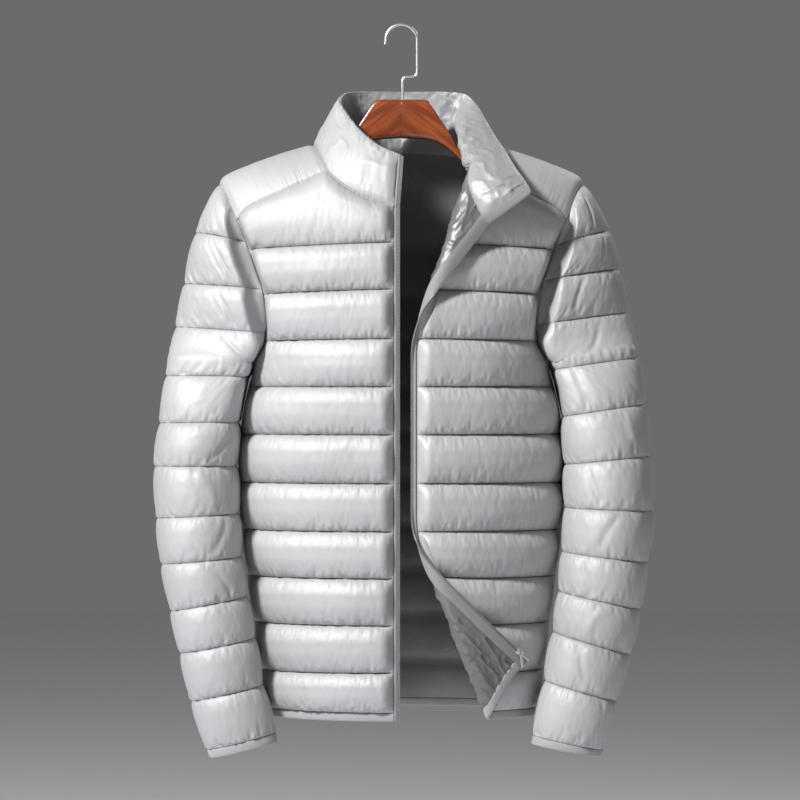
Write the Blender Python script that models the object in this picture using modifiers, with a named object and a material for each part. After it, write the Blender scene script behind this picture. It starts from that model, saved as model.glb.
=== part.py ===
"""A quilted down jacket hanging open on a wooden hanger.

Shape is worked out in millimetres and turned into metres when a mesh is made.
The origin is the inside top of the hanger's hook.  +X is the wearer's left, the
front faces -Y and +Z is up, so a height is given as its drop below the origin.

Every sewn piece is a wall: a grid of points on the garment's surface, moved in
for the plain inside and moved out, by more between two rows of stitching, for
the quilted outside.  Neighbouring pieces are made from the same seam points.
"""

import math

import bmesh
import bpy
import numpy as np
from mathutils import Matrix, Vector

MM = 0.001

# ---------------------------------------------------------------- dimensions
COLLECTION = "puffer_jacket_on_hanger"
CLOTH_HALF = 1.5            # half of the wall where it is stitched flat
SEAM_HALF = 0.17            # half of the gap between two sewn pieces
ARMHOLE_HALF = 0.7          # the same where a sleeve meets the body
COLLAR_HALF = 0.5           # and where the collar meets the neck
SLEEVE_LAP = 4.0            # a sleeve's seam lies this far over the body's at the underarm
LAP_TOP, LAP_FULL = 195.0, 330.0    # drops at which the lap begins and is complete
SHOULDER_DROP = 70.0        # height over which the shoulder rounds to full depth
FRONT_PUFF = 12.0           # height of a baffle on the fronts and the back
YOKE_PUFF = 4.0
SLEEVE_PUFF = 8.0
UNDERARM_PUFF = 2.0         # a sleeve's baffles are thin next to the body
COLLAR_PUFF = 3.5
EDGE_TAPER = 24.0           # a baffle flattens over this width beside a seam
BINDING_HALF = 2.3          # half the thickness of the hem and cuff binding
HEM_DROP = 800.0            # seam between the panels and the hem binding
HEM_BINDING = 10.0
HEM_HALF_WIDTH = 165.0
TAPE_WIDTH = 7.4            # zip tape with its row of teeth
TAPE_HALF = 0.7
TEETH_HALF = 1.3
TEETH_START = 5.0           # where the teeth begin, from the panel's edge
WIRE = 4.0                  # hook wire
HOOK_RADIUS = 18.5          # to the middle of the wire
HOOK_SHANK_X = 1.3

# Half the body's width and its depths in front of and behind the shoulder line.
TORSO = {
    "drop":        [130, 190, 250, 300, 350, 396, 430, 475, 520, 576, 640, 700, 780, 815],
    "half_width":  [238, 236, 224, 208, 191, 172, 180, 188, 191, 189, 182, 174, 165, 161],
    "front_depth": [56, 82, 103, 112, 116, 118, 119, 119, 119, 119, 118, 117, 115, 114],
    "back_depth":  [58, 74, 84, 89, 92, 94, 95, 96, 96, 97, 97, 96, 95, 95],
}
# Height of the shoulder line above each distance from the middle.
RIDGE = {
    "x": [0, 60, 104, 140, 180, 205, 218, 236],
    "z": [-112, -127, -144, -155, -169.5, -181, -193, -216],
}
# The armhole seam, from the shoulder point down to the underarm.
ARMHOLE = {
    "drop":  [188, 200, 214, 232, 262, 288, 318, 352, 375, 388, 396],
    "front": [214, 210, 203, 191, 179, 169, 160, 157, 161, 167, 172],
    "back":  [214, 210, 205, 199, 190, 185, 180, 176, 173.5, 172.3, 172],
}
UNDERARM_DROP = 396.0
UNDERARM_FLAT = 0.7
SHOULDER_X = 214.0
# The yoke's seams on the front and on the back.
YOKE_SEAM = {
    "x":     [74, 88, 118, 147, 175, 191],
    "front": [-171, -179, -190, -203, -216, -231],
    "back":  [-151.5, -154, -174, -190, -209, -231],
}
# Where the neck, the yoke and a front meet, and the neck's half width, by side.
SIDES = {
    "right": {"sign": -1, "edge": 9.0, "neck_half": 102.0, "front_join": 86.0, "back_join": 88.0},
    "left":  {"sign": 1, "edge": 18.0, "neck_half": 88.0, "front_join": 74.0, "back_join": 76.0},
}
NECK_FRONT_DROP = 219.0
NECK_CURVE = 1.65           # exponent of the neckline's rounded corner
BACK_NECK_DROP = 146.0
BACK_NECK_DIP = 8.0
# Rows of quilting, at the front edge and at the side seam.
ROWS = {
    "front": [260, 314, 371, 426, 481, 537, 592, 646, 700, 754, HEM_DROP],
    "side":  [266, 318, 372, 426, 481, 537, 592, 646, 700, 756, HEM_DROP],
}

# Fold lines of the left front: a point, the way down the fold, and its roll.
LAPEL = {"x": 69.0, "z": -204.0, "down_x": -53.4, "down_z": -156.8, "radius": 11.5, "turn": 180.0}
CORNER = {"x": 19.0, "z": -609.0, "down_x": 75.0, "down_z": -195.0, "radius": 11.0, "turn": 176.0}
CORNER_RISE = 24.0          # the turned corner's hem is drawn up by this much
CORNER_REACH = 95.0         # and this far in from the front's edge
FOLDS_MEET = -500.0         # the lapel rolls above this height, the corner below it

# Sleeve sections down to the cuff.  Sections 0 to 2 end on the armhole seam.
SLEEVES = {
    "right": {
        "outer_x":    [214, 240, 253, 263, 273, 280, 285.5, 282.5, 276.5, 265.5, 254.5, 241.5, 223.5, 220],
        "outer_drop": [188, 245, 305, 356, 413, 468, 518, 578, 631, 685, 734, 789, 845, 855],
        "inner_x":    [191, 184, 166, 158, 185, 192, 193.5, 191, 187.5, 181.5, 172, 162.5, 147.5, 145],
        "inner_drop": [231, 257, 312, 362, 414, 467, 518, 573, 623, 669, 717, 771, 826, 837],
        "centre_y":   [0, -6, -10, -13, -20, -34, -44, -53, -60, -65, -69, -72, -74, -75],
        "half_depth": [20, 34, 50, 56, 58, 57, 55, 53, 49, 44, 39, 34, 29, 28],
    },
    "left": {
        "outer_x":    [214, 243, 254, 265, 275, 284, 289, 291.5, 284, 275, 263, 248, 232, 229],
        "outer_drop": [188, 243, 288, 339, 392, 446, 506, 570, 629, 683, 735, 789, 845, 853],
        "inner_x":    [191, 182, 170, 158, 185, 190.5, 192, 192.5, 189, 185, 178, 167.5, 154, 152],
        "inner_drop": [231, 260, 302, 353, 406, 460, 516, 566, 617, 663, 710, 766, 829, 839],
        "centre_y":   [0, -6, -10, -13, -20, -34, -44, -53, -60, -65, -69, -72, -74, -75],
        "half_depth": [20, 34, 48, 56, 58, 58, 57, 55, 50, 45, 40, 35, 30, 29],
    },
}
ELBOW_ROW = 6               # row of stitching where a sleeve's two lengths meet
CUFF_ROW = 12               # section where the cuff is sewn on

# The collar's top edge, along the neckline from each front end to the back, and
# how far its middle swells from the straight line between seam and edge.
COLLAR_TOP = {
    "right": {
        "along":   [0, .10, .22, .36, .54, .70, .85, 1],
        "x":       [-4, -25, -45, -60, -72, -66, -40, 0],
        "y":       [-73, -67, -52, -31, -3, 25, 45, 51],
        "z":       [-156, -146, -129, -110, -88, -77, -73, -73],
        "swell_x": [0, 0, 2, 4, 5, 4, 0, 0],
        "swell_y": [-6, -6, -4, -2, 0, 4, 8, 10],
        "swell_z": [0, 0, 0, 0, 0, 0, 0, 0],
    },
    "left": {
        "along":   [0, .10, .22, .34, .46, .57, .67, .78, .89, 1],
        "x":       [147, 142, 132, 121, 110, 99, 89, 73, 40, 0],
        "y":       [-110, -97, -74, -46, -22, 0, 20, 37, 47, 51],
        "z":       [-199, -189, -173, -151, -132, -110, -91, -76, -73, -73],
        "swell_x": [0, 0, -10, -34, -46, -50, -36, -8, 0, 0],
        "swell_y": [-16, -20, -16, 0, 6, 8, 2, 4, 8, 10],
        "swell_z": [0, 0, 4, 14, 18, 18, 16, 4, 0, 0],
    },
}

# Half of the hanger's wood: top and bottom edges and half thickness.
HANGER = {
    "x":      [0, 24, 31, 38, 45, 57, 71, 86, 104, 140, 180, 196, 203],
    "top":    [-87, -87, -88, -97, -108, -127, -147, -151, -147, -158, -172.5, -181, -187],
    "bottom": [-132, -133.5, -134.5, -136, -139, -147, -160, -171, -176, -180, -190, -194, -193],
    "half":   [12, 12, 12, 12, 12, 12, 11.5, 11, 10.5, 9.5, 8.5, 8, 6],
}
HANGER_CHAMFER = 3.0


# ------------------------------------------------------------------- tables
def lookup(table, key, column, at):
    """Read a column smoothly between its rows, without overshooting them."""
    keys = np.asarray(table[key], dtype=float)
    values = np.asarray(table[column], dtype=float)
    slopes = np.diff(values) / np.diff(keys)
    before, after = slopes[:-1], slopes[1:]
    same_way = before * after > 0
    total = np.where(same_way, before + after, 1.0)
    middle = np.where(same_way, 2 * before * after / total, 0.0)
    tangents = np.concatenate(([slopes[0]], middle, [slopes[-1]]))
    at = np.clip(np.asarray(at, dtype=float), keys[0], keys[-1])
    row = np.clip(np.searchsorted(keys, at, side="right") - 1, 0, len(keys) - 2)
    width = keys[row + 1] - keys[row]
    part = (at - keys[row]) / width
    square, cube = part ** 2, part ** 3
    return ((2 * cube - 3 * square + 1) * values[row]
            + (cube - 2 * square + part) * width * tangents[row]
            + (3 * square - 2 * cube) * values[row + 1]
            + (cube - square) * width * tangents[row + 1])


def smooth_step(value):
    value = np.clip(value, 0.0, 1.0)
    return value * value * (3 - 2 * value)


def unit(vectors):
    length = np.linalg.norm(vectors, axis=-1, keepdims=True)
    return vectors / np.maximum(length, 1e-9)


# -------------------------------------------------------------------- torso
def ridge(x):
    return lookup(RIDGE, "x", "z", np.abs(x))


def depth_square(x, z, face):
    """Square of the body's depth at x and z; it is zero along the shoulder line."""
    depth = lookup(TORSO, "drop", face + "_depth", -z)
    half_width = lookup(TORSO, "drop", "half_width", -z)
    below = np.clip((ridge(x) - z) / SHOULDER_DROP, 0.0, 1.0)
    return depth ** 2 * below * (2 - below) * np.clip(1 - (x / half_width) ** 2, 0.0, None)


def torso_surface(x, z, face):
    """Points of the body's surface, and the way out of it."""
    sign = -1.0 if face == "front" else 1.0
    step = 0.5
    y = sign * np.sqrt(depth_square(x, z, face))
    slope_x = (depth_square(x + step, z, face) - depth_square(x - step, z, face)) / (2 * step)
    slope_z = (depth_square(x, z + step, face) - depth_square(x, z - step, face)) / (2 * step)
    return np.stack([x, y, z], axis=-1), unit(np.stack([-slope_x, 2 * y, -slope_z], axis=-1))


def side_edge(z, face):
    """Distance from the middle of a panel's outer edge: armhole, then side seam."""
    armhole = lookup(ARMHOLE, "drop", face, -z)
    side_seam = lookup(TORSO, "drop", "half_width", -z)
    return np.where(-z < UNDERARM_DROP, armhole, side_seam)


def neckline(x, side):
    """Height of the front neck seam."""
    half = SIDES[side]["neck_half"]
    corner = ridge(half)
    part = np.clip(np.abs(x) / half, 0.0, 1.0)
    return corner - (NECK_FRONT_DROP + corner) * (1 - part ** NECK_CURVE) ** (1 / NECK_CURVE)


def front_top(x, side):
    """Height of a front's top seam: the neck seam, then the yoke seam."""
    join = SIDES[side]["front_join"]
    yoke = lookup(YOKE_SEAM, "x", "front", np.abs(x))
    neck = neckline(x, side)
    gap = neckline(join, side) - lookup(YOKE_SEAM, "x", "front", join)
    settle = 1 - smooth_step((np.abs(x) - join) / 30.0)
    return np.where(np.abs(x) < join, neck, yoke + gap * settle)


def back_top(x):
    """Height of the back's top seam: the neck seam, then the yoke seam."""
    join = np.where(x < 0, SIDES["right"]["back_join"], SIDES["left"]["back_join"])
    neck = -BACK_NECK_DROP - BACK_NECK_DIP * (x / SIDES["right"]["back_join"]) ** 2
    at_join = -BACK_NECK_DROP - BACK_NECK_DIP * (join / SIDES["right"]["back_join"]) ** 2
    gap = at_join - lookup(YOKE_SEAM, "x", "back", join)
    settle = 1 - smooth_step((np.abs(x) - join) / 30.0)
    return np.where(np.abs(x) < join, neck, lookup(YOKE_SEAM, "x", "back", np.abs(x)) + gap * settle)


def settle_column(across, edge, face, top):
    """Where a column of a panel meets its top seam."""
    z = np.full_like(across, -200.0)
    for _ in range(60):
        x = edge + (side_edge(z, face) - edge) * across
        z = 0.5 * z + 0.5 * top(x)
    return x, z


def join_column(side):
    """The share of a front's width at which its neck seam ends."""
    edge = SIDES[side]["edge"]
    join = SIDES[side]["front_join"]
    z = front_top(np.array(join), side)
    return float((join - edge) / (side_edge(z, "front") - edge))


def corner_rise(inward, z):
    """How far the turned-out corner draws a front's rows up beside its edge."""
    return (CORNER_RISE * (1 - smooth_step(inward / CORNER_REACH))
            * smooth_step((CORNER["z"] - z) / (HEM_DROP + CORNER["z"])))


def front_flat(side, across, down):
    """A front as it lies closed: x and z for shares across and rows down."""
    info = SIDES[side]
    edge = info["edge"]
    across, down = np.broadcast_arrays(np.asarray(across, float), np.asarray(down, float))
    _, top = settle_column(np.clip(across, 0, 1), edge, "front", lambda x: front_top(x, side))
    levels = [top]
    for front, outer in zip(ROWS["front"], ROWS["side"]):
        levels.append(-(front + (outer - front) * np.clip(across, 0, 1)))
    levels = np.stack(levels)
    if side == "left":
        levels[1:] += corner_rise(across * HEM_HALF_WIDTH, levels[1:])
    row = np.clip(down.astype(int), 0, len(ROWS["front"]) - 1)
    part = down - row
    upper = np.take_along_axis(levels, row[None], axis=0)[0]
    lower = np.take_along_axis(levels, row[None] + 1, axis=0)[0]
    z = upper + (lower - upper) * part
    x = edge + (side_edge(z, "front") - edge) * across
    return info["sign"] * x, z


def roll_over(x, z, fold):
    """Roll what lies past a fold line over onto the outside of the front."""
    length = math.hypot(fold["down_x"], fold["down_z"])
    down = np.array([fold["down_x"], fold["down_z"]]) / length
    past = np.array([down[1], -down[0]])
    if past[0] > 0:
        past = -past
    radius = fold["radius"]
    turn = math.radians(fold["turn"])
    away = (x - fold["x"]) * past[0] + (z - fold["z"]) * past[1]
    along = (x - fold["x"]) * down[0] + (z - fold["z"]) * down[1]
    angle = np.clip((away + radius) / radius, 0.0, turn)
    rest = np.maximum(away + radius - turn * radius, 0.0)
    rolled = np.where(away > -radius, -radius + radius * np.sin(angle) + rest * np.cos(angle), away)
    lift = radius * (1 - np.cos(angle)) + rest * np.sin(angle)
    new_x = fold["x"] + along * down[0] + rolled * past[0]
    new_z = fold["z"] + along * down[1] + rolled * past[1]
    return new_x, new_z, lift, angle, past


def front_surface(side, x, z):
    """Points, outward directions and how far the cloth is rolled over."""
    if side == "right":
        points, out = torso_surface(x, z, "front")
        return points, out, np.zeros_like(x)
    lapel = roll_over(x, z, LAPEL)
    corner = roll_over(x, z, CORNER)
    upper = z > FOLDS_MEET
    new_x, new_z, lift, angle = (np.where(upper, a, b) for a, b in zip(lapel[:4], corner[:4]))
    past = np.where(upper[..., None], lapel[4], corner[4])
    points, out = torso_surface(new_x, new_z, "front")
    sideways = np.stack([past[..., 0], np.zeros_like(x), past[..., 1]], axis=-1)
    sideways = unit(sideways - out * np.sum(sideways * out, axis=-1, keepdims=True))
    turned = out * np.cos(angle)[..., None] - sideways * np.sin(angle)[..., None]
    return points + out * lift[..., None], turned, angle


def front_width(side, z):
    return side_edge(z, "front") - SIDES[side]["edge"]


# -------------------------------------------------------------------- walls
def baffle(part, tall=0.8):
    """Height of a baffle, from 0 at one row of stitching to 0 at the next."""
    return np.sin(math.pi * np.clip(part, 0.0, 1.0)) ** tall


def draw_in(points, sides, distance=SEAM_HALF):
    """Move the named borders of a grid half a seam's gap inward."""
    points = points.copy()
    borders = {"top": (np.s_[0], np.s_[1]), "bottom": (np.s_[-1], np.s_[-2]),
               "first": (np.s_[:, 0], np.s_[:, 1]), "last": (np.s_[:, -1], np.s_[:, -2])}
    for name in sides:
        border, inside = borders[name]
        points[border] = points[border] + unit(points[inside] - points[border]) * distance
    return points


def add_object(name, mesh, material):
    """Link a mesh as an object of the jacket's collection."""
    thing = bpy.data.objects.new(name, mesh)
    mesh.materials.append(material)
    bpy.data.collections[COLLECTION].objects.link(thing)
    return thing


def wall(name, points, out, outer, inner, material, inner_rows=1, closed_from=None):
    """Loft a closed wall through a grid of surface points.

    outer and inner are how far each point's outside and inside lie from it.  The
    inside has one row for every inner_rows rows.  From the row closed_from on the
    first and last columns are one, as round a sleeve.
    """
    rows, columns = points.shape[:2]
    outside = points + out * np.broadcast_to(outer, (rows, columns))[..., None]
    inside = points - out * np.broadcast_to(inner, (rows, columns))[..., None]
    wraps = rows + 1 if closed_from is None else closed_from
    mesh = bmesh.new()

    def make_row(grid, row):
        made = [mesh.verts.new(Vector(point) * MM) for point in grid[row]]
        if row >= wraps:
            mesh.verts.remove(made[-1])
            made[-1] = made[0]
        return made

    skin = [make_row(outside, row) for row in range(rows)]
    kept = list(range(0, rows, inner_rows))
    lining = {row: make_row(inside, row) for row in kept}
    for row in range(rows - 1):
        for column in range(columns - 1):
            mesh.faces.new((skin[row][column], skin[row + 1][column],
                            skin[row + 1][column + 1], skin[row][column + 1]))
    for above, below in zip(kept, kept[1:]):
        for column in range(columns - 1):
            mesh.faces.new((lining[above][column], lining[above][column + 1],
                            lining[below][column + 1], lining[below][column]))
        if above < wraps:
            for column in (0, columns - 1):
                rim = [skin[row][column] for row in range(above, below + 1)]
                mesh.faces.new(rim + [lining[below][column], lining[above][column]])
    for row in (0, rows - 1):
        for column in range(columns - 1):
            mesh.faces.new((skin[row][column], skin[row][column + 1],
                            lining[row][column + 1], lining[row][column]))
    bmesh.ops.recalc_face_normals(mesh, faces=mesh.faces)
    data = bpy.data.meshes.new(name)
    mesh.to_mesh(data)
    mesh.free()
    data.shade_smooth()
    data.set_sharp_from_angle(angle=math.radians(50))
    return add_object(name, data, material)


def beside_edges(distance):
    return smooth_step(distance / EDGE_TAPER) ** 0.5


# --------------------------------------------------------------- sewn pieces
def front_columns(side):
    """Shares across a front: over the neck seam, then over the yoke seam."""
    join = join_column(side)
    neck = [0, .10, .35, .68, 1] if side == "right" else [0, .12, .30, .52, .76, 1]
    yoke = [.28, .58, .86, 1] if side == "right" else [.15, .32, .52, .74, .90, 1]
    return np.array([join * share for share in neck] + [join + (1 - join) * share for share in yoke])


def front_neck_columns(side):
    return 5 if side == "right" else 6


def make_front(side, material, steps=4):
    """A front: its rows, its columns and its puffs."""
    baffles = len(ROWS["front"])
    across = front_columns(side)[None, :]
    down = np.linspace(0, baffles, baffles * steps + 1)[:, None]
    x, z = front_flat(side, across, down)
    points, out, angle = front_surface(side, x, z)
    width = front_width(side, z)
    taper = beside_edges(across * width) * beside_edges((1 - across) * width)
    crush = 1 - 0.7 * smooth_step(angle / (math.pi / 2))
    puff = FRONT_PUFF * baffle(down % 1.0) * taper * crush
    sleeve_room = 1 - 0.7 * smooth_step((across - 0.72) / 0.25)
    points = draw_in(points, ("top", "bottom", "first", "last"))
    wall("front_" + side, points, out, CLOTH_HALF + puff * sleeve_room, CLOTH_HALF,
         material, inner_rows=steps if side == "right" else 1)


def back_columns():
    """Shares across the back, with a column at each end of its neck seam."""
    halves = []
    for side in ("right", "left"):
        join = SIDES[side]["back_join"]
        inner = join / float(side_edge(back_top(np.array(join)), "back"))
        halves.append(np.concatenate(([0.45 * inner], inner + (1 - inner) * yoke_columns(side))))
    return np.concatenate((-halves[0][::-1], [0], halves[1]))


def back_flat(across, down):
    across, down = np.broadcast_arrays(np.asarray(across, float), np.asarray(down, float))
    _, top = settle_column(across, 0.0, "back", back_top)
    levels = np.stack([top] + [np.full_like(top, -level) for level in ROWS["side"]])
    row = np.clip(down.astype(int), 0, len(ROWS["side"]) - 1)
    upper = np.take_along_axis(levels, row[None], axis=0)[0]
    lower = np.take_along_axis(levels, row[None] + 1, axis=0)[0]
    z = upper + (lower - upper) * (down - row)
    return side_edge(z, "back") * across, z


def make_back(material, steps=4):
    baffles = len(ROWS["side"])
    across = back_columns()[None, :]
    down = np.linspace(0, baffles, baffles * steps + 1)[:, None]
    x, z = back_flat(across, down)
    points, out = torso_surface(x, z, "back")
    taper = beside_edges((1 - np.abs(across)) * side_edge(z, "back"))
    puff = FRONT_PUFF * baffle(down % 1.0) * taper
    sleeve_room = 1 - 0.6 * smooth_step((np.abs(across) - 0.8) / 0.2)
    points = draw_in(points, ("top", "bottom", "first", "last"))
    wall("back", points, out, CLOTH_HALF + puff * sleeve_room, CLOTH_HALF, material,
         inner_rows=steps)


def yoke_surface(side, across, over):
    """A yoke: shares from neck to armhole and from the front seam to the back."""
    info = SIDES[side]
    sign = info["sign"]
    across, over = np.broadcast_arrays(np.asarray(across, float), np.asarray(over, float))
    join = join_column(side)
    front_x, front_z = front_flat(side, join + (1 - join) * across, np.zeros_like(across))
    back_join = info["back_join"]
    edge = float(side_edge(back_top(np.array(back_join)), "back"))
    inner = back_join / edge
    back_x, back_z = back_flat(sign * (inner + (1 - inner) * across), np.zeros_like(across))
    top_x = sign * (info["neck_half"] + (SHOULDER_X - info["neck_half"]) * across)
    front = over < 0.5
    reach = np.abs(1 - 2 * over)
    end_x = np.where(front, front_x, back_x)
    end_z = np.where(front, front_z, back_z)
    limit = np.arccos(np.clip(1 - (ridge(end_x) - end_z) / SHOULDER_DROP, -1, 1))
    x = top_x + (end_x - top_x) * reach ** 1.5
    z = ridge(x) - SHOULDER_DROP * (1 - np.cos(limit * reach))
    front_points, front_out = torso_surface(x, z, "front")
    back_points, back_out = torso_surface(x, z, "back")
    pick = front[..., None]
    return np.where(pick, front_points, back_points), np.where(pick, front_out, back_out)


def yoke_columns(side):
    join = join_column(side)
    columns = front_columns(side)[front_neck_columns(side) - 1:]
    return (columns - join) / (1 - join)


def make_yoke(side, material):
    across = yoke_columns(side)[None, :]
    over = np.linspace(0, 1, 11)[:, None]
    points, out = yoke_surface(side, across, over)
    puff = YOKE_PUFF * baffle(over, 0.6) * baffle(across, 0.6)
    points = draw_in(draw_in(points, ("top", "bottom", "last")), ("first",), COLLAR_HALF)
    wall("yoke_" + side, points, out, CLOTH_HALF + puff, CLOTH_HALF, material)


# ------------------------------------------------------------------ sleeves
def sleeve_value(side, column, down):
    table = dict(SLEEVES[side], row=list(range(len(SLEEVES[side]["outer_x"]))))
    return lookup(table, "row", column, down)


def underarm_row(side):
    """The row, counted in sections, at which the sleeve closes into a tube."""
    rows = np.linspace(0, 6, 601)
    return float(np.interp(UNDERARM_DROP, sleeve_value(side, "inner_drop", rows), rows))


def sleeve_surface(side, around, down):
    """A sleeve: round it from the front seam to the back one, and down its rows."""
    sign = SIDES[side]["sign"]
    around, down = np.broadcast_arrays(np.asarray(around, float), np.asarray(down, float))
    closed_row = underarm_row(side)
    outer_x, outer_z, inner_x, inner_z, middle_y, depth = (
        sleeve_value(side, column, down) * factor for column, factor in
        (("outer_x", 1), ("outer_drop", -1), ("inner_x", 1), ("inner_drop", -1),
         ("centre_y", 1), ("half_depth", 1)))
    open_part = 1 - smooth_step((down - 1.0) / (closed_row - 1.0))
    # just under the arm the tube is flat against the body and squarer all round
    flat = UNDERARM_FLAT * (1 - smooth_step(np.abs(down - closed_row) / 2.5))
    half_turn, turn = np.sin(math.pi * around), np.sin(math.pi * around) ** (2 + 2 * flat)
    sideways = np.sin(2 * math.pi * around)
    sideways = np.sign(sideways) * np.abs(sideways) ** (1 - 0.8 * flat)
    outward = open_part * half_turn + (1 - open_part) * turn

    cap = down < closed_row
    z_seam = np.maximum(inner_z, -UNDERARM_DROP)
    front_seam, front_out = torso_surface(sign * side_edge(z_seam + 1e-6, "front"), z_seam, "front")
    back_seam, back_out = torso_surface(sign * side_edge(z_seam + 1e-6, "back"), z_seam, "back")
    lap = SLEEVE_LAP * smooth_step((-z_seam - LAP_TOP) / (LAP_FULL - LAP_TOP))
    front_seam = front_seam + front_out * lap[..., None]
    back_seam = back_seam + back_out * lap[..., None]
    outer_point = np.stack([sign * outer_x, middle_y, outer_z], axis=-1)
    cap_middle = (front_seam + back_seam) / 2
    across = (front_seam - back_seam) / 2
    cap_points = (cap_middle + (outer_point - cap_middle) * outward[..., None]
                  + across * np.cos(math.pi * around)[..., None])
    swell = np.maximum(depth - 0.8 * np.abs(across[..., 1]), 0.0) * sideways
    # away from the seam a section is centred on the sleeve, not on its seam
    centred = smooth_step(np.sin(math.pi * around) / 0.5) * (1 - outward)
    cap_points[..., 1] += (middle_y - cap_middle[..., 1]) * centred - swell

    # the closed tube starts at the underarm, beside the body, and eases into its sections
    beside = lookup(TORSO, "drop", "half_width", -inner_z) + SLEEVE_LAP
    ease = smooth_step(down - closed_row)
    start_x = beside + (inner_x - beside) * ease
    tube_start = np.stack([sign * start_x, middle_y * ease, inner_z], axis=-1)
    tube_points = tube_start + (outer_point - tube_start) * outward[..., None]
    tube_points[..., 1] += middle_y * (1 - ease) * centred - swell
    points = np.where(cap[..., None], cap_points, tube_points)

    # the first section is the end of the yoke, over the shoulder
    yoke_end, yoke_out = yoke_surface(side, np.ones_like(around), around)
    first = 1 - smooth_step(down / 1.0)[..., None]
    points = points * (1 - first) + yoke_end * first
    return points, front_out, back_out, yoke_out


def grid_normals(points, sign):
    """Outward directions of a grid, from its neighbouring points."""
    rows = np.gradient(points, axis=0)
    columns = np.gradient(points, axis=1)
    return unit(np.cross(rows, columns) * sign)


def make_sleeve(side, material, steps=4, segments=16):
    """A sleeve, in an upper and a lower length that meet along a row of stitching."""
    closed_row = underarm_row(side)
    around = np.linspace(0, 1, segments + 1)[None, :]
    # whole rows of quilting, with a row of its own where the tube closes
    fine = np.linspace(0, CUFF_ROW, CUFF_ROW * steps + 1)
    nearest = 2 * int(np.argmin(np.abs(fine[::2] - closed_row)))
    fine[nearest] = closed_row
    down = fine[:, None]
    points, front_out, back_out, yoke_out = sleeve_surface(side, around, down)
    out = sleeve_directions(side, points, down, front_out, back_out, yoke_out)
    open_rows = down < closed_row
    under_puff = UNDERARM_PUFF * smooth_step(down - closed_row)
    inner_side = under_puff + (SLEEVE_PUFF - under_puff) * np.sin(math.pi * around) ** 0.5
    reach = np.linalg.norm(np.diff(points, axis=1), axis=-1).sum(axis=1, keepdims=True)
    cap_taper = beside_edges(around * reach) * beside_edges((1 - around) * reach)
    puff = baffle(down % 1.0) * np.where(open_rows, SLEEVE_PUFF * cap_taper, inner_side)
    drawn = draw_in(draw_in(points, ("top",), ARMHOLE_HALF), ("bottom",))
    edges = draw_in(points, ("first", "last"), ARMHOLE_HALF)
    drawn[1:nearest, 0] = edges[1:nearest, 0]
    drawn[1:nearest, -1] = edges[1:nearest, -1]
    elbow = ELBOW_ROW * steps
    outer = CLOTH_HALF + puff
    wall("sleeve_upper_" + side, draw_in(drawn[:elbow + 1], ("bottom",)), out[:elbow + 1],
         outer[:elbow + 1], CLOTH_HALF, material, inner_rows=2, closed_from=nearest)
    wall("sleeve_lower_" + side, draw_in(drawn[elbow:], ("top",)), out[elbow:],
         outer[elbow:], CLOTH_HALF, material, inner_rows=2, closed_from=0)


def sleeve_directions(side, points, down, front_out, back_out, yoke_out):
    """Outward directions of a sleeve, shared with the body along the armhole."""
    closed_row = underarm_row(side)
    own = grid_normals(points, SIDES[side]["sign"])
    wrapped = unit(own[:, 0] + own[:, -1])
    closed = (down[:, 0] >= closed_row)[:, None]
    own[:, 0] = np.where(closed, wrapped, front_out[:, 0])
    own[:, -1] = np.where(closed, wrapped, back_out[:, -1])
    own[0] = yoke_out[0]
    return own


def make_cuff(side, material, segments=16):
    around = np.linspace(0, 1, segments + 1)[None, :]
    down = np.array([CUFF_ROW, CUFF_ROW + .5, CUFF_ROW + 1.0])[:, None]
    points, front_out, back_out, yoke_out = sleeve_surface(side, around, down)
    out = sleeve_directions(side, points, down, front_out, back_out, yoke_out)
    out[0] = grid_normals(points, SIDES[side]["sign"])[0]
    out[0, 0] = out[0, -1] = unit(out[0, 0] + out[0, -1])
    drawn = draw_in(points, ("top",))
    thick = BINDING_HALF - np.array([.4, 0, .6])[:, None]
    wall("cuff_" + side, drawn, out, thick, thick, material, closed_from=0)


# --------------------------------------------------- hem, zip tapes and collar
def make_hem_front(side, material):
    across = front_columns(side)[None, :]
    x, z = front_flat(side, across, np.full((1, 1), len(ROWS["front"])))
    z = z - HEM_BINDING * np.array([0, .5, 1])[:, None]
    x = np.broadcast_to(x, z.shape)
    points, out, _ = front_surface(side, x, z)
    thick = BINDING_HALF - np.array([.4, 0, .6])[:, None]
    points = draw_in(points, ("top", "first", "last"))
    wall("hem_" + side, points, out, thick, thick, material)


def make_hem_back(material):
    across = back_columns()[None, :]
    x, _ = back_flat(across, np.full((1, 1), len(ROWS["side"])))
    drop = HEM_DROP + HEM_BINDING * np.array([0, .5, 1])[:, None]
    x = np.broadcast_to(x, (3, x.shape[1]))
    points, out = torso_surface(x, np.broadcast_to(-drop, x.shape), "back")
    thick = BINDING_HALF - np.array([.4, 0, .6])[:, None]
    points = draw_in(points, ("top", "first", "last"))
    wall("hem_back", points, out, thick, thick, material)


def neck_stations(side):
    """Seam points of half the neckline, from the front end to the back's middle."""
    count = front_neck_columns(side)
    across = front_columns(side)[:count]
    x, z = front_flat(side, across, np.zeros_like(across))
    points, out, _ = front_surface(side, x, z)
    over = np.linspace(0, 1, 11)[1:-1]
    yoke_points, yoke_out = yoke_surface(side, np.zeros_like(over), over)
    sign = SIDES[side]["sign"]
    back = sign * back_columns()
    join = SIDES[side]["back_join"]
    inner = join / float(side_edge(back_top(np.array(join)), "back"))
    back = np.sort(back[(back > -1e-6) & (back < inner + 1e-6)])[::-1] * sign
    back_x, back_z = back_flat(back, np.zeros_like(back))
    back_points, back_out = torso_surface(back_x, back_z, "back")
    return (np.concatenate([points, yoke_points, back_points]),
            np.concatenate([out, yoke_out, back_out]))


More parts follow.
